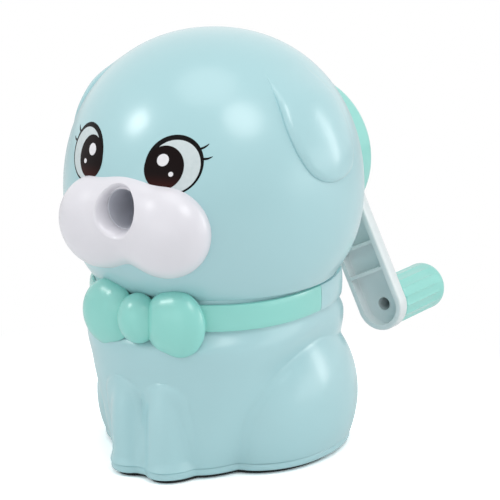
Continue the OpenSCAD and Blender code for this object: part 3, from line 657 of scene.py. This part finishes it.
def openRound(bm, y, radius):
    # round hole on the pencil's line, on the side of the head where y points
    middle = Vector((0, head["pencilLine"]))
    inside = [v for v in bm.verts if v.co.y * y > 0 and (v.co.xz - middle).length < radius]
    bmesh.ops.delete(bm, geom=inside, context="VERTS")
    for v in bm.verts:
        off = v.co.xz - middle
        if v.is_boundary and v.co.y * y > 0 and off.length < radius * 1.5:
            off = off.normalized() * radius
            v.co.x, v.co.z = off.x, off.y + head["pencilLine"]


def makeHeadFront():
    bm = headSkin()
    openRound(bm, -1, head["noseHole"])
    cutAway(bm, (0, head["seam"], 0), (0, 1, 0))
    thicken(bm, head["wall"])
    finishPiece("headFront", bm, replaced=["head_shell"])


def makeHeadRear():
    bm = headSkin()
    cutAway(bm, (0, head["seam"] + head["seamGap"], 0), (0, -1, 0))
    cutAway(bm, (0, head["rearFlat"], 0), (0, 1, 0))
    flat = rimOf(bm, lambda co: co.y > head["rearFlat"] - 0.01)
    for v in vertsOf(bmesh.ops.extrude_edge_only(bm, edges=flat)["geom"]):
        off = (v.co.xz - Vector((0, head["pencilLine"]))).normalized() * head["shaftHole"]
        v.co.x, v.co.z = off.x, off.y + head["pencilLine"]
    thicken(bm, head["wall"])
    finishPiece("headRear", bm, replaced=["head_rear_shell"])


skin = {
    "middle": 1.2, "halfWidth": 31.2, "halfDepth": 37.6, "squareness": 2.3,
    "low": 1.2, "bottom": 3.4, "neck": 50.0, "wall": 2.2, "corners": 340, "levels": 104,
    # share of the height and of the size, at the sides, in front and behind
    "sides": [(0, 0.77), (0.15, 0.87), (0.33, 0.92), (0.55, 0.96), (0.72, 1), (0.83, 0.975), (1, 0.975)],
    "front": [(0, 0.87), (0.15, 0.89), (0.33, 0.92), (0.55, 0.97), (0.72, 1), (0.83, 0.895), (1, 0.895)],
    "rear": [(0, 0.93), (0.15, 0.96), (0.33, 0.99), (0.55, 1), (0.72, 1), (0.83, 0.895), (1, 0.895)],
    # middle and radii of each bulge, and how softly it runs into the rest
    "bulges": [((0, -24, 0), (8, 11.4, 36), 1.0), ((5.4, -24, 0), (7.2, 12.9, 42), 1.0),
               ((5.6, -27.3, 1.2), (7.4, 9.7, 8), 1.5), ((16.6, 6.5, 13.9), (19, 27.7, 26.1), 0.3)],
    # the dip and the swell fade out between two depths of the body
    "dip": 1.4, "dipWidth": 0.3, "dipFade": (18, 4),
    "swell": 0.5, "swellWidth": 0.3, "swellInward": (0.65, 0.25), "swellFade": (10, -10),
    # how far each leg's line lies from the middle, its top, and its half width
    "legTop": (6.8, 21.0, 6.4), "legEdge": 6.0, "legRise": 1.3, "legFade": (4, 20),
}

throat = {"halfWidth": 17.0, "front": -8.5, "rear": 21.5}


def ovalReach(turn, halfWidth, halfDepth):
    # from the body's middle line to an oval
    power = skin["squareness"]
    wide, deep = abs(cos(turn)) / halfWidth, abs(sin(turn)) / halfDepth
    return (wide ** power + deep ** power) ** (-1 / power)


def bulgeReach(turn, z, side, bulge):
    # to the far side of a bulge, or nothing where the line misses it
    centre, radii, _ = bulge
    ux, uy = cos(turn) / radii[0], sin(turn) / radii[1]
    ox, oy = -side * centre[0] / radii[0], (skin["middle"] - centre[1]) / radii[1]
    dot, square = ux * ox + uy * oy, ux * ux + uy * uy
    inside = dot * dot - square * (ox * ox + oy * oy + ((z - centre[2]) / radii[2]) ** 2 - 1)
    return (sqrt(inside) - dot) / square if inside > 0 else 0


def haunchRelief(spot):
    # the body dips towards the haunch's crease, and the haunch swells just behind it
    centre, radii, _ = skin["bulges"][-1]
    place = (abs(spot.x), spot.y, spot.z)
    inward = 1 - sqrt(sum((c - m) ** 2 / r ** 2 for c, m, r in zip(place, centre, radii)))
    if inward <= 0:
        fade = smoothStep(-skin["dipWidth"], 0, inward) * smoothStep(*skin["dipFade"], spot.y)
        return -skin["dip"] * fade
    rise = sqrt(1 - (1 - min(1, inward / skin["swellWidth"])) ** 2)
    fade = smoothStep(*skin["swellInward"], inward) * smoothStep(*skin["swellFade"], spot.y)
    return skin["swell"] * rise * fade


def legRelief(spot):
    # each leg's top stands out from the chest
    if spot.y >= 0:
        return 0
    middle, top, halfWidth = skin["legTop"]
    away = hypot(abs(spot.x) - middle, max(0, spot.z - top))
    inward = min(1, max(0, halfWidth - away) / skin["legEdge"])
    return skin["legRise"] * sqrt(1 - (1 - inward) ** 2) * smoothStep(*skin["legFade"], spot.z)


def skinReach(turn, z):
    share = (z - skin["low"]) / (skin["neck"] - skin["low"])
    back = smoothStep(-0.25, 0.25, sin(turn))
    depth = curveAt(skin["front"], share) * (1 - back) + curveAt(skin["rear"], share) * back
    reach = ovalReach(turn, skin["halfWidth"] * curveAt(skin["sides"], share), skin["halfDepth"] * depth)
    side = -1 if cos(turn) < 0 else 1
    relief = haunchRelief(aroundBody(turn, reach, z))
    reach += min(0, relief)
    for bulge in skin["bulges"]:
        reach = softMax(reach, bulgeReach(turn, z, side, bulge), bulge[2])
    reach += max(0, relief)
    return reach + legRelief(aroundBody(turn, reach, z))


def aroundBody(turn, reach, z):
    return Vector((reach * cos(turn), skin["middle"] + reach * sin(turn), z))


def throatReach(turn):
    # to the edge of the shavings' way through the neck
    c, s = cos(turn), sin(turn)
    along = throat["rear"] - skin["middle"] if s > 0 else skin["middle"] - throat["front"]
    return min(throat["halfWidth"] / max(abs(c), 1e-6), along / max(abs(s), 1e-6))


drawer = {
    "seam": 25.0, "gap": 0.16, "rim": 16.7, "floor": 3.7, "halfWidth": 22.0, "back": -10.6, "front": 30.4,
    "wall": 1.6, "levels": 26,
    "drop": 0.8,  # how far the tray's walls stay below the rim
    "scoop": ((0, 51, 9.6), (16, 16, 9.6)),  # middle and radii of the hollow for a finger
}


def skinStack(low, high, levels, throatRing=False, closeEnds=False):
    # the body's skin between two heights
    def place(k, turn):
        if k == levels:
            return aroundBody(turn, throatReach(turn), high)
        z = low + (high - low) * k / (levels - 1)
        return aroundBody(turn, skinReach(turn, z), z)

    return ringStack(skin["corners"], levels + throatRing, place, closeEnds)


def makeBody():
    bm = skinStack(skin["bottom"], skin["neck"], skin["levels"], throatRing=True)
    seam, rim = drawer["seam"] - drawer["gap"], drawer["rim"] + drawer["gap"]
    cutAway(bm, (0, seam, 0), (0, 1, 0), clear=False)
    cutAway(bm, (0, 0, rim), (0, 0, 1), clear=False)
    window = [f for f in bm.faces if f.calc_center_median().y > seam and f.calc_center_median().z < rim]
    bmesh.ops.delete(bm, geom=window, context="FACES")
    thicken(bm, skin["wall"])
    finishPiece("bodyShell", bm, replaced=["body_shell"])


def makeDrawer():
    low, high = drawer["floor"], drawer["rim"]
    rump = skinStack(low, high, drawer["levels"], closeEnds=True)
    cutAway(rump, (0, drawer["seam"], 0), (0, -1, 0))
    fillHoles(rump)
    bmesh.ops.triangulate(rump, faces=[f for f in rump.faces if len(f.verts) > 4])
    half, wall, back = drawer["halfWidth"], drawer["wall"], drawer["back"]
    tray = block((-half, back, low), (half, drawer["seam"] + 1, high - drawer["drop"]))
    hollow = block((-half + wall, back + wall, low + wall), (half - wall, drawer["front"], high + 10))
    centre, radii = drawer["scoop"]
    scoop = bmesh.new()
    bmesh.ops.create_uvsphere(scoop, u_segments=96, v_segments=64, radius=1,
                              matrix=Matrix.Translation(centre) @ Matrix.Diagonal((*radii, 1)))
    bm = combine(combine(combine(rump, tray, "UNION"), hollow, "DIFFERENCE"), scoop, "DIFFERENCE")
    finishPiece("shavingsDrawer", bm, "drawer", "shell_plastic", ["shavings_drawer"], sharpAngle=25)


base = {
    # inset from the body's outline, and height, from the top's middle to the underside's
    "plate": [(6, 3.38), (0.75, 3.38), (0.5, 3.28), (0.32, 3.05), (0.3, 2.4), (0.3, 1.75), (0.42, 1.42),
              (0.7, 1.22), (6, 1.2)],
    "pad": [(7, 1.18), (2.6, 1.18), (2.35, 1.1), (2.25, 0.9), (2.25, 0.25), (2.4, 0.06), (2.7, 0), (7, 0)],
    "screws": [(13, -18), (-13, -18), (27, 8), (-27, 8)], "plateHole": 3.1, "recess": 2.4, "padHole": 3.4,
}


def makeBasePiece(name, rings, hole, top, slot, node):
    outline = {}

    def place(k, turn):
        if turn not in outline:
            outline[turn] = skinReach(turn, skin["bottom"])
        inset, z = rings[k]
        return aroundBody(turn, outline[turn] - inset, z)

    bm = ringStack(skin["corners"], len(rings), place, closeEnds=True)
    for x, y in base["screws"]:
        bm = combine(bm, rod(hole, (x, y, -1), (x, y, top)), "DIFFERENCE")
    finishPiece(name, bm, "housing", slot, [node])


rails = {"away": 0.8, "halfWidth": 0.5, "low": 3.3, "high": 7.0, "edge": 0.2}


def makeRails():
    # the drawer slides between them
    pair = []
    for side in (-1, 1):
        x = side * (drawer["halfWidth"] + rails["away"])
        rail = block((x - rails["halfWidth"], drawer["back"], rails["low"]),
                     (x + rails["halfWidth"], drawer["seam"], rails["high"]))
        roundSharp(rail, 40, rails["edge"])
        pair.append(rail)
    finishPiece("drawerRails", merged(pair))


collarBand = {
    "halfWidth": 30.42, "halfDepth": 33.652, "low": 41.7, "end": 3.8, "gap": 0.16,
    # how far out and how far up, round the band's section
    "section": [(0.1, 0.1), (0.7, 0), (1.08, 0.18), (1.26, 0.6), (1.36, 1.8), (1.4, 3.6), (1.36, 5.4),
                (1.26, 6.6), (1.08, 7.02), (0.7, 7.2), (0.1, 7.1)],
}


def makeBand(name, slot, node, frontHalf):
    def place(k, turn):
        out, up = collarBand["section"][k]
        reach = ovalReach(turn, collarBand["halfWidth"] + out, collarBand["halfDepth"] + out)
        return aroundBody(turn, reach, collarBand["low"] + up)

    bm = ringStack(skin["corners"], len(collarBand["section"]), place, join=True)
    if frontHalf:
        cutAway(bm, (0, collarBand["end"] - collarBand["gap"], 0), (0, 1, 0))
    else:
        cutAway(bm, (0, collarBand["end"], 0), (0, -1, 0))
    fillHoles(bm)
    finishPiece(name, bm, "housing", slot, [node] if node else ())


muzzle = {
    "lobe": ((9.6, -36.2, 69.1), (13.0, 9.4, 12.4)), "bridge": ((0, -36.15, 71.0), (13.0, 8.75, 11.0)),
    "cleft": 3.2, "cleftRise": 0.6,  # how softly the two lobes meet, and how much softer above
    "centre": (0, -35.5, 74.2), "widest": 1.76,  # where the rays start, and how far round they go
    "mouth": (6.3, 7.0), "bore": 5.3, "boreEnd": -40.35, "sink": 0.25, "backEdge": 0.5,
    "corners": 160, "rings": 66, "ringPower": 1.1, "backRings": 10, "mouthTries": 6,
    # share of the way from the bore out to the mouth, and depth
    "funnel": [(0, 4.2), (0.02, 3.2), (0.08, 2.4), (0.17, 1.75), (0.28, 1.25), (0.4, 0.85), (0.53, 0.53),
               (0.66, 0.3), (0.78, 0.15), (0.9, 0.05)],
}


def ellipsoidReach(origin, way, centre, radii):
    u = Vector([way[i] / radii[i] for i in range(3)])
    o = Vector([(origin[i] - centre[i]) / radii[i] for i in range(3)])
    inside = u.dot(o) ** 2 - u.length_squared * (o.length_squared - 1)
    return (sqrt(inside) - u.dot(o)) / u.length_squared if inside > 0 else 0


def hullReach(origin, way, first, last):
    # to the skin drawn over all the ellipsoids on the way from one to the other
    def reachAt(t):
        centre, radii = (Vector(first[part]).lerp(Vector(last[part]), t) for part in (0, 1))
        return ellipsoidReach(origin, way, centre, radii)

    if first == last:
        return reachAt(0)
    steps, rounds, golden = 5, 9, 0.618
    reach = [reachAt(k / steps) for k in range(steps + 1)]
    best = reach.index(max(reach))
    low, high = max(0, best - 1) / steps, min(steps, best + 1) / steps
    left, right = high - golden * (high - low), low + golden * (high - low)
    leftReach, rightReach = reachAt(left), reachAt(right)
    for _ in range(rounds):
        if leftReach > rightReach:
            high, right, rightReach = right, left, leftReach
            left = high - golden * (high - low)
            leftReach = reachAt(left)
        else:
            low, left, leftReach = left, right, rightReach
            right = low + golden * (high - low)
            rightReach = reachAt(right)
    return max(leftReach, rightReach, reach[0], reach[-1])


def mirroredShape(shape, side):
    (x, y, z), radii = shape
    return (side * x, y, z), radii


def makeMuzzle():
    origin = Vector(muzzle["centre"])
    lobes = [mirroredShape(muzzle["lobe"], side) for side in (-1, 1)]
    rings, backRings, bore = muzzle["rings"], muzzle["backRings"], muzzle["bore"]
    funnel = muzzle["funnel"]
    angles = {}

    def face(turn, angle):
        way = Vector((cos(turn) * sin(angle), -cos(angle), sin(turn) * sin(angle)))
        left, right = (hullReach(origin, way, muzzle["bridge"], lobe) for lobe in lobes)
        blend = muzzle["cleft"] * (1 + muzzle["cleftRise"] * sin(turn))
        return origin + way * softMax(left, right, blend)

    def mouthReach(turn):
        # the mouth is a little taller than it is wide
        wide, tall = muzzle["mouth"]
        return 1 / hypot(cos(turn) / wide, sin(turn) / tall)

    def mouthAngle(turn):
        # where the face meets the mouth's edge
        mouth = mouthReach(turn)
        angle = atan2(mouth, 10)
        for _ in range(muzzle["mouthTries"]):
            p = face(turn, angle)
            angle *= mouth / hypot(p.x, p.z - origin.z)
        return angle

    def place(k, turn):
        if turn not in angles:
            angles[turn] = mouthAngle(turn)
        if k == 0:
            return Vector((bore * cos(turn), muzzle["boreEnd"], origin.z + bore * sin(turn)))
        if k <= len(funnel):
            share, depth = funnel[k - 1]
            radius = bore + (mouthReach(turn) - bore) * share
            x, z = radius * cos(turn), origin.z + radius * sin(turn)
            y = min(face(turn, angles[turn]).y + depth, -muzzle["sink"] - headFront(x, z))
            return Vector((x, y, z))
        k -= len(funnel) + 1
        if k < rings:
            share = (k / (rings - 1)) ** muzzle["ringPower"]
            p = face(turn, angles[turn] + (muzzle["widest"] - angles[turn]) * share)
            p.y = min(p.y, muzzle["sink"] - headFront(p.x, p.z))
            return p
        # along the head's skin, back to the bore
        edge = place(len(funnel) + rings, turn)
        share = (k - rings + 1) / backRings
        backBore = bore + muzzle["backEdge"]
        x = edge.x + (backBore * cos(turn) - edge.x) * share
        z = edge.z + (origin.z + backBore * sin(turn) - edge.z) * share
        return Vector((x, muzzle["sink"] - headFront(x, z), z))

    bm = ringStack(muzzle["corners"], 1 + len(funnel) + rings + backRings, place, join=True)
    finishPiece("muzzlePiece", bm, "housing", "white_plastic", ["muzzle"], sharpAngle=60)


guide = {
    "front": -40.3, "nose": 5.6, "noseLength": 4.5, "radius": 7.5, "bore": 4.2,
    "mouth": (5.15, 5.3), "leadIn": 9.0, "edge": 0.1,
    "flange": 9.5, "flangeEnds": (9, 7),  # its two faces, from the guide's far end
}


def makeGuide():
    # the bore's lead-in widens towards the muzzle
    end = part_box("pencil_guide")[1][1] / mm
    front, edge, bore, r = (guide[k] for k in ("front", "edge", "bore", "radius"))
    nose, noseEnd, flange = guide["nose"], front + guide["noseLength"], guide["flange"]
    (inner, outer), (near, far) = guide["mouth"], (end - d for d in guide["flangeEnds"])
    section = [(bore, end), (bore, front + guide["leadIn"]), (inner, front + edge), (outer, front),
               (nose - edge, front), (nose, front + edge), (nose, noseEnd), (r, noseEnd),
               (r, near), (flange, near), (flange, far), (r, far), (r, end)]
    bm = onLine(lathe(section, 96, closed=True), 0, head["pencilLine"])
    finishPiece("pencilGuide", bm, "housing", "frame_plastic", ["pencil_guide"], sharpAngle=30)


bow = {
    "lobe": ((10.8, -32.9, 43.7), (8.1, 5.0, 9.0)), "neck": ((8.6, -33.6, 43.8), (7.0, 4.6, 8.2)),
    "knot": ((0, -34.9, 44.1), (5.8, 5.3, 6.7)), "detail": 6,
    "bed": [(20, 31.35, 37.75), (36.4, 31.35, 37.75), (41.7, 31.84, 35.07), (60, 31.84, 35.07)],
}


def blobShape(origin, first, last):
    bm = bmesh.new()
    bmesh.ops.create_icosphere(bm, subdivisions=bow["detail"], radius=1)
    origin = Vector(origin)
    for v in bm.verts:
        way = v.co.normalized()
        v.co = origin + way * hullReach(origin, way, first, last)
    return bm


def makeBow():
    tie = blobShape(bow["knot"][0], bow["knot"], bow["knot"])
    for side in (-1, 1):
        neck, lobe = mirroredShape(bow["neck"], side), mirroredShape(bow["lobe"], side)
        tie = combine(tie, blobShape(lobe[0], neck, lobe), "UNION")

    def bed(k, turn):
        # the shoulders and the collar, which the bow's back rests on
        z, halfWidth, halfDepth = bow["bed"][k]
        return aroundBody(turn, ovalReach(turn, halfWidth, halfDepth), z)

    tie = combine(tie, ringStack(180, len(bow["bed"]), bed, closeEnds=True), "DIFFERENCE")
    finishPiece("bowTie", tie, "housing", "mint_plastic", ["bow_tie"], sharpAngle=30)


eye = {
    # middle and radii across and up
    "outline": ((12.4, 86.3), (7.15, 7.35)), "white": ((12.68, 86.02), (6.25, 6.45)),
    "pupil": ((10.25, 85.6), (5.05, 5.4)), "glint": ((9.9, 87.5), (1.5, 1.5)),
    "spark": ((12.4, 84.2), (0.6, 0.6)),
    "lashes": [((17.5, 90.4), (19.75, 91.7)), ((18.85, 88.2), (21.1, 88.7))],
    "lashWidth": 0.62, "lashBend": 0.3, "lashTaper": 1.6, "lashTip": 0.04,
    "middle": 12.4, "otherMiddle": -15.2, "otherWidth": 0.94,
    "corners": 96, "rings": 12, "thickness": 0.04, "lift": 0.03, "root": 0.15,
}


def onFace(side, x, z, lift):
    # the two eyes are printed, and aren't quite mirror images
    if side < 0:
        x = eye["otherMiddle"] - (x - eye["middle"]) * eye["otherWidth"]
    return Vector((x, -headFront(x, z) - lift, z))


def seatInk(bm, lift):
    # the film's edge runs down into the head's skin
    faceTowards(bm, Vector((0, -1, 0)))
    bmesh.ops.solidify(bm, geom=bm.faces[:], thickness=lift + eye["root"])
    return bm


def inkDisc(name, shape, layer, material):
    # a thin film of ink on the head, for both eyes
    (cx, cz), (rx, rz) = shape
    rings = eye["rings"]
    lift = eye["lift"] + eye["thickness"] * layer
    films = []
    for side in (1, -1):
        def place(k, turn):
            share = 1 - k / rings
            return onFace(side, cx + rx * cos(turn) * share, cz + rz * sin(turn) * share, lift)

        bm = ringStack(eye["corners"], rings, place)
        middle = onFace(side, cx, cz, lift)
        bmesh.ops.holes_fill(bm, edges=rimOf(bm, lambda co: (co - middle).length < rx * 0.4), sides=0)
        films.append(seatInk(bm, lift))
    finishPiece(name, merged(films), material=material)


def makeLash(number, start, end):
    along = Vector(end) - Vector(start)
    across = Vector((-along.y, along.x)).normalized()
    lift = eye["lift"] + eye["thickness"]
    films = []
    for side in (1, -1):
        bm = bmesh.new()
        bmesh.ops.create_grid(bm, x_segments=12, y_segments=3, size=0.5)
        for v in bm.verts:
            t = v.co.x + 0.5
            width = eye["lashWidth"] * sqrt(max(eye["lashTip"], 1 - t ** eye["lashTaper"]))
            rise = eye["lashBend"] * 4 * t * (1 - t)
            p = Vector(start) + along * t + across * (v.co.y * width - rise)
            v.co = onFace(side, p.x, p.y, lift)
        films.append(seatInk(bm, lift))
    finishPiece("lash" + str(number), merged(films), material="ink_black")


def makeEyes():
    inkDisc("eyeOutline", eye["outline"], 0, "ink_black")
    inkDisc("eyeWhite", eye["white"], 1, "ink_white")
    inkDisc("pupil", eye["pupil"], 2, "ink_pupil")
    inkDisc("eyeGlint", eye["glint"], 3, "ink_glint")
    inkDisc("eyeSpark", eye["spark"], 3, "ink_glint")
    for number, (start, end) in enumerate(eye["lashes"], 1):
        makeLash(number, start, end)


rearCover = {
    "front": 34.5, "rear": 47.5, "radius": 22.3, "edge": 3.0, "wall": 2.2, "bush": 5.02, "hub": 7.5,
    "hubDepth": 7.5, "frontEdge": 0.5, "innerEdge": 0.2, "screwRing": 15.5, "screwTurns": (90, 210, 330),
    "boss": 4.3, "hole": 1.6, "recess": 3.1, "recessDepth": 9.0,
}


def makeRearCover():
    low, high, r, e, w = (rearCover[k] for k in ("front", "rear", "radius", "edge", "wall"))
    bush, hub, hubEnd = rearCover["bush"], rearCover["hub"], high - rearCover["hubDepth"]
    frontEdge, innerEdge = rearCover["frontEdge"], rearCover["innerEdge"]
    angles = [pi / 2 * i / 10 for i in range(10, -1, -1)]
    section = [(bush, high)] + [(r - e + e * cos(a), high - e + e * sin(a)) for a in angles]
    section += [(r, low + frontEdge), (r - frontEdge, low), (r - w + innerEdge, low),
                (r - w, low + innerEdge), (r - w, high - w), (hub, high - w), (hub, hubEnd), (bush, hubEnd)]
    bm = lathe(section, 160, closed=True)
    for turn in rearCover["screwTurns"]:
        x, y = (rearCover["screwRing"] * wave(radians(turn)) for wave in (cos, sin))
        for part, start, end, operation in (
                ("boss", low + 0.1, high - 1, "UNION"),
                ("recess", high - rearCover["recessDepth"], high + 1, "DIFFERENCE"),
                ("hole", low - 1, high, "DIFFERENCE")):
            bm = combine(bm, rod(rearCover[part], (x, y, start), (x, y, end)), operation)
    onLine(bm, 0, head["pencilLine"])
    finishPiece("rearCover", bm, "housing", "mint_plastic", ["rear_cover"], sharpAngle=30)


crank = {
    "length": 49.3, "lean": 26.0, "front": 52.0, "thickness": 4.6, "radius": 7.2, "rim": 1.6, "floor": 1.6,
    "edge": 1.2, "softEdge": 0.45, "pocketEdge": 0.5, "hubFront": 48.0, "hubRadius": 6.8,
    "firstRib": 1.4, "ribStep": 8.1, "ribs": 4, "ribThickness": 1.0,
    "spindle": 3.2, "spindleEnd": 75.6, "pin": 1.9, "pinDepth": 16.6,
    "screwSeat": 4.4, "seatDepth": 2, "shaftHole": 3.0, "holeEnd": 2.3,  # depths from the arm's outer side
}


def gripLine():
    lean = radians(crank["lean"])
    return crank["length"] * sin(lean), head["pencilLine"] - crank["length"] * cos(lean)


def longRound(radius, low, high):
    # flat bar with round ends, from the shaft down to the grip, before it leans
    bm = rod(radius, (0, low, 0), (0, high, 0), 96)
    for v in bm.verts:
        if v.co.z < -1e-4:
            v.co.z -= crank["length"]
    return bm


def makeArm():
    low, high = crank["front"], crank["front"] + crank["thickness"]
    arm = longRound(crank["radius"], low, high)
    roundSharp(arm, 60, crank["edge"], 5, lambda co: co.y > high - 0.01)
    roundSharp(arm, 60, crank["softEdge"], 3, lambda co: co.y < low + 0.01)
    pocket = longRound(crank["radius"] - crank["rim"], low - 1, high - crank["floor"])
    roundSharp(pocket, 60, crank["pocketEdge"], 3, lambda co: co.y > high - crank["floor"] - 0.01)
    pocket = combine(pocket, rod(crank["radius"], (0, low - 2, 0), (0, high, 0), 96), "DIFFERENCE")
    for i in range(1, crank["ribs"] + 1):
        z = -crank["length"] + crank["firstRib"] + i * crank["ribStep"]
        rib = block((-crank["radius"], low, z), (crank["radius"], high, z + crank["ribThickness"]))
        pocket = combine(pocket, rib, "DIFFERENCE")
    arm = combine(arm, pocket, "DIFFERENCE")
    foot = -crank["length"]
    for part, start, end, z, segments, operation in (
            ("hubRadius", crank["hubFront"], low + 1, 0, 96, "UNION"),
            ("spindle", high - 1, crank["spindleEnd"], foot, 64, "UNION"),
            ("pin", low, low + crank["pinDepth"], foot, 48, "DIFFERENCE"),
            ("screwSeat", high - crank["seatDepth"], high + 1, 0, 64, "DIFFERENCE"),
            ("shaftHole", low - 6, high - crank["holeEnd"], 0, 64, "DIFFERENCE")):
        arm = combine(arm, rod(crank[part], (0, start, z), (0, end, z), segments), operation)
    lean = Matrix.Rotation(-radians(crank["lean"]), 3, "Y")
    bmesh.ops.rotate(arm, verts=arm.verts, cent=(0, 0, 0), matrix=lean)
    bmesh.ops.translate(arm, verts=arm.verts, vec=(0, 0, head["pencilLine"]))
    finishPiece("crankArm", arm, "crank", "white_plastic", ["crank_arm"], "arm_plastic", 35)


grip = {
    "radius": 6.9, "start": 56.9, "length": 23.0, "edge": 1.8, "bore": 3.26, "capSeat": 4.62,
    "seatDepth": 4.3, "flutes": 16, "fluteDepth": 0.34, "fluteShare": 0.46, "cornersPerFlute": 14,
    "frontEdge": [(0.9, 0), (0.45, 0.08), (0.12, 0.3), (0, 0.7)],  # inset, and distance from the front
}


def gripRadius(turn, radius, share):
    # share is 1 where the flutes are at full depth
    phase = (turn * grip["flutes"] / (2 * pi)) % 1
    near = abs(phase - 0.5) / grip["fluteShare"]
    dip = grip["fluteDepth"] * sqrt(max(0, 1 - near * near)) if near < 1 else 0
    return radius - dip * share


def makeGrip():
    r, e, start, end = grip["radius"], grip["edge"], grip["start"], grip["start"] + grip["length"]
    section = [(grip["bore"], start, 0)] + [(r - inset, start + y, 1) for inset, y in grip["frontEdge"]]
    first = grip["frontEdge"][-1][1]
    section += [(r, start + first + (grip["length"] - e - first) * i / 20, smoothStep(20, 15, i))
                for i in range(1, 21)]
    section += [(r - e + e * cos(a), end - e + e * sin(a), 0)
                for a in (pi / 2 * i / 8 for i in range(1, 8))]
    section += [(r - e, end, 0), (grip["capSeat"] + 0.3, end, 0), (grip["capSeat"], end - 0.3, 0),
                (grip["capSeat"], end - grip["seatDepth"], 0), (grip["bore"], end - grip["seatDepth"], 0)]
    x, z = gripLine()

    def place(k, turn):
        radius, y, share = section[k]
        radius = gripRadius(turn, radius, share)
        return Vector((x + radius * cos(turn), y, z + radius * sin(turn)))

    bm = ringStack(grip["flutes"] * grip["cornersPerFlute"], len(section), place, join=True)
    finishPiece("crankGrip", bm, "grip", "mint_plastic", ["crank_grip"], sharpAngle=50)


gripCap = {"radius": 4.58, "depth": 1.6, "rise": 1.4, "edge": (0.38, 0.3), "seat": 0.1}


def makeGripCap():
    end, r, depth = grip["start"] + grip["length"], gripCap["radius"], gripCap["depth"]
    inset, up = gripCap["edge"]
    section = [(0, end - depth), (r - inset, end - depth), (r, end - depth + up),
               (r, end - gripCap["seat"])]
    section += [(r * cos(a), end + gripCap["rise"] * sin(a))
                for a in (pi / 2 * i / 12 for i in range(1, 12))]
    section.append((0, end + gripCap["rise"]))
    bm = onLine(lathe(section, 96), *gripLine())
    finishPiece("gripCap", bm, "grip", "mint_plastic", ["grip_cap"], sharpAngle=50)


makeHeadFront()
makeEars()
makeHeadRear()
makeBody()
makeDrawer()
makeBasePiece("basePlate", base["plate"], base["plateHole"], base["recess"], "shell_plastic", "base_plate")
makeBasePiece("basePad", base["pad"], base["padHole"], 3, "pad_rubber", "base_pad")
makeRails()
makeBand("collarBand", "mint_plastic", "collar", True)
makeBand("neckBand", "shell_plastic", None, False)
makeMuzzle()
makeGuide()
makeBow()
makeEyes()
makeRearCover()
makeArm()
makeGrip()
makeGripCap()


def dressRest():
    # the pieces that keep their own shape get their finish
    shown = {row["node"]: row["material_slot"] for row in frame["record"]["subparts"]}
    for name, ob in frame["nodes"].items():
        ob.data.materials.clear()
        ob.data.materials.append(materials[shown[name]])


dressRest()
print("the inner pieces have their finish")
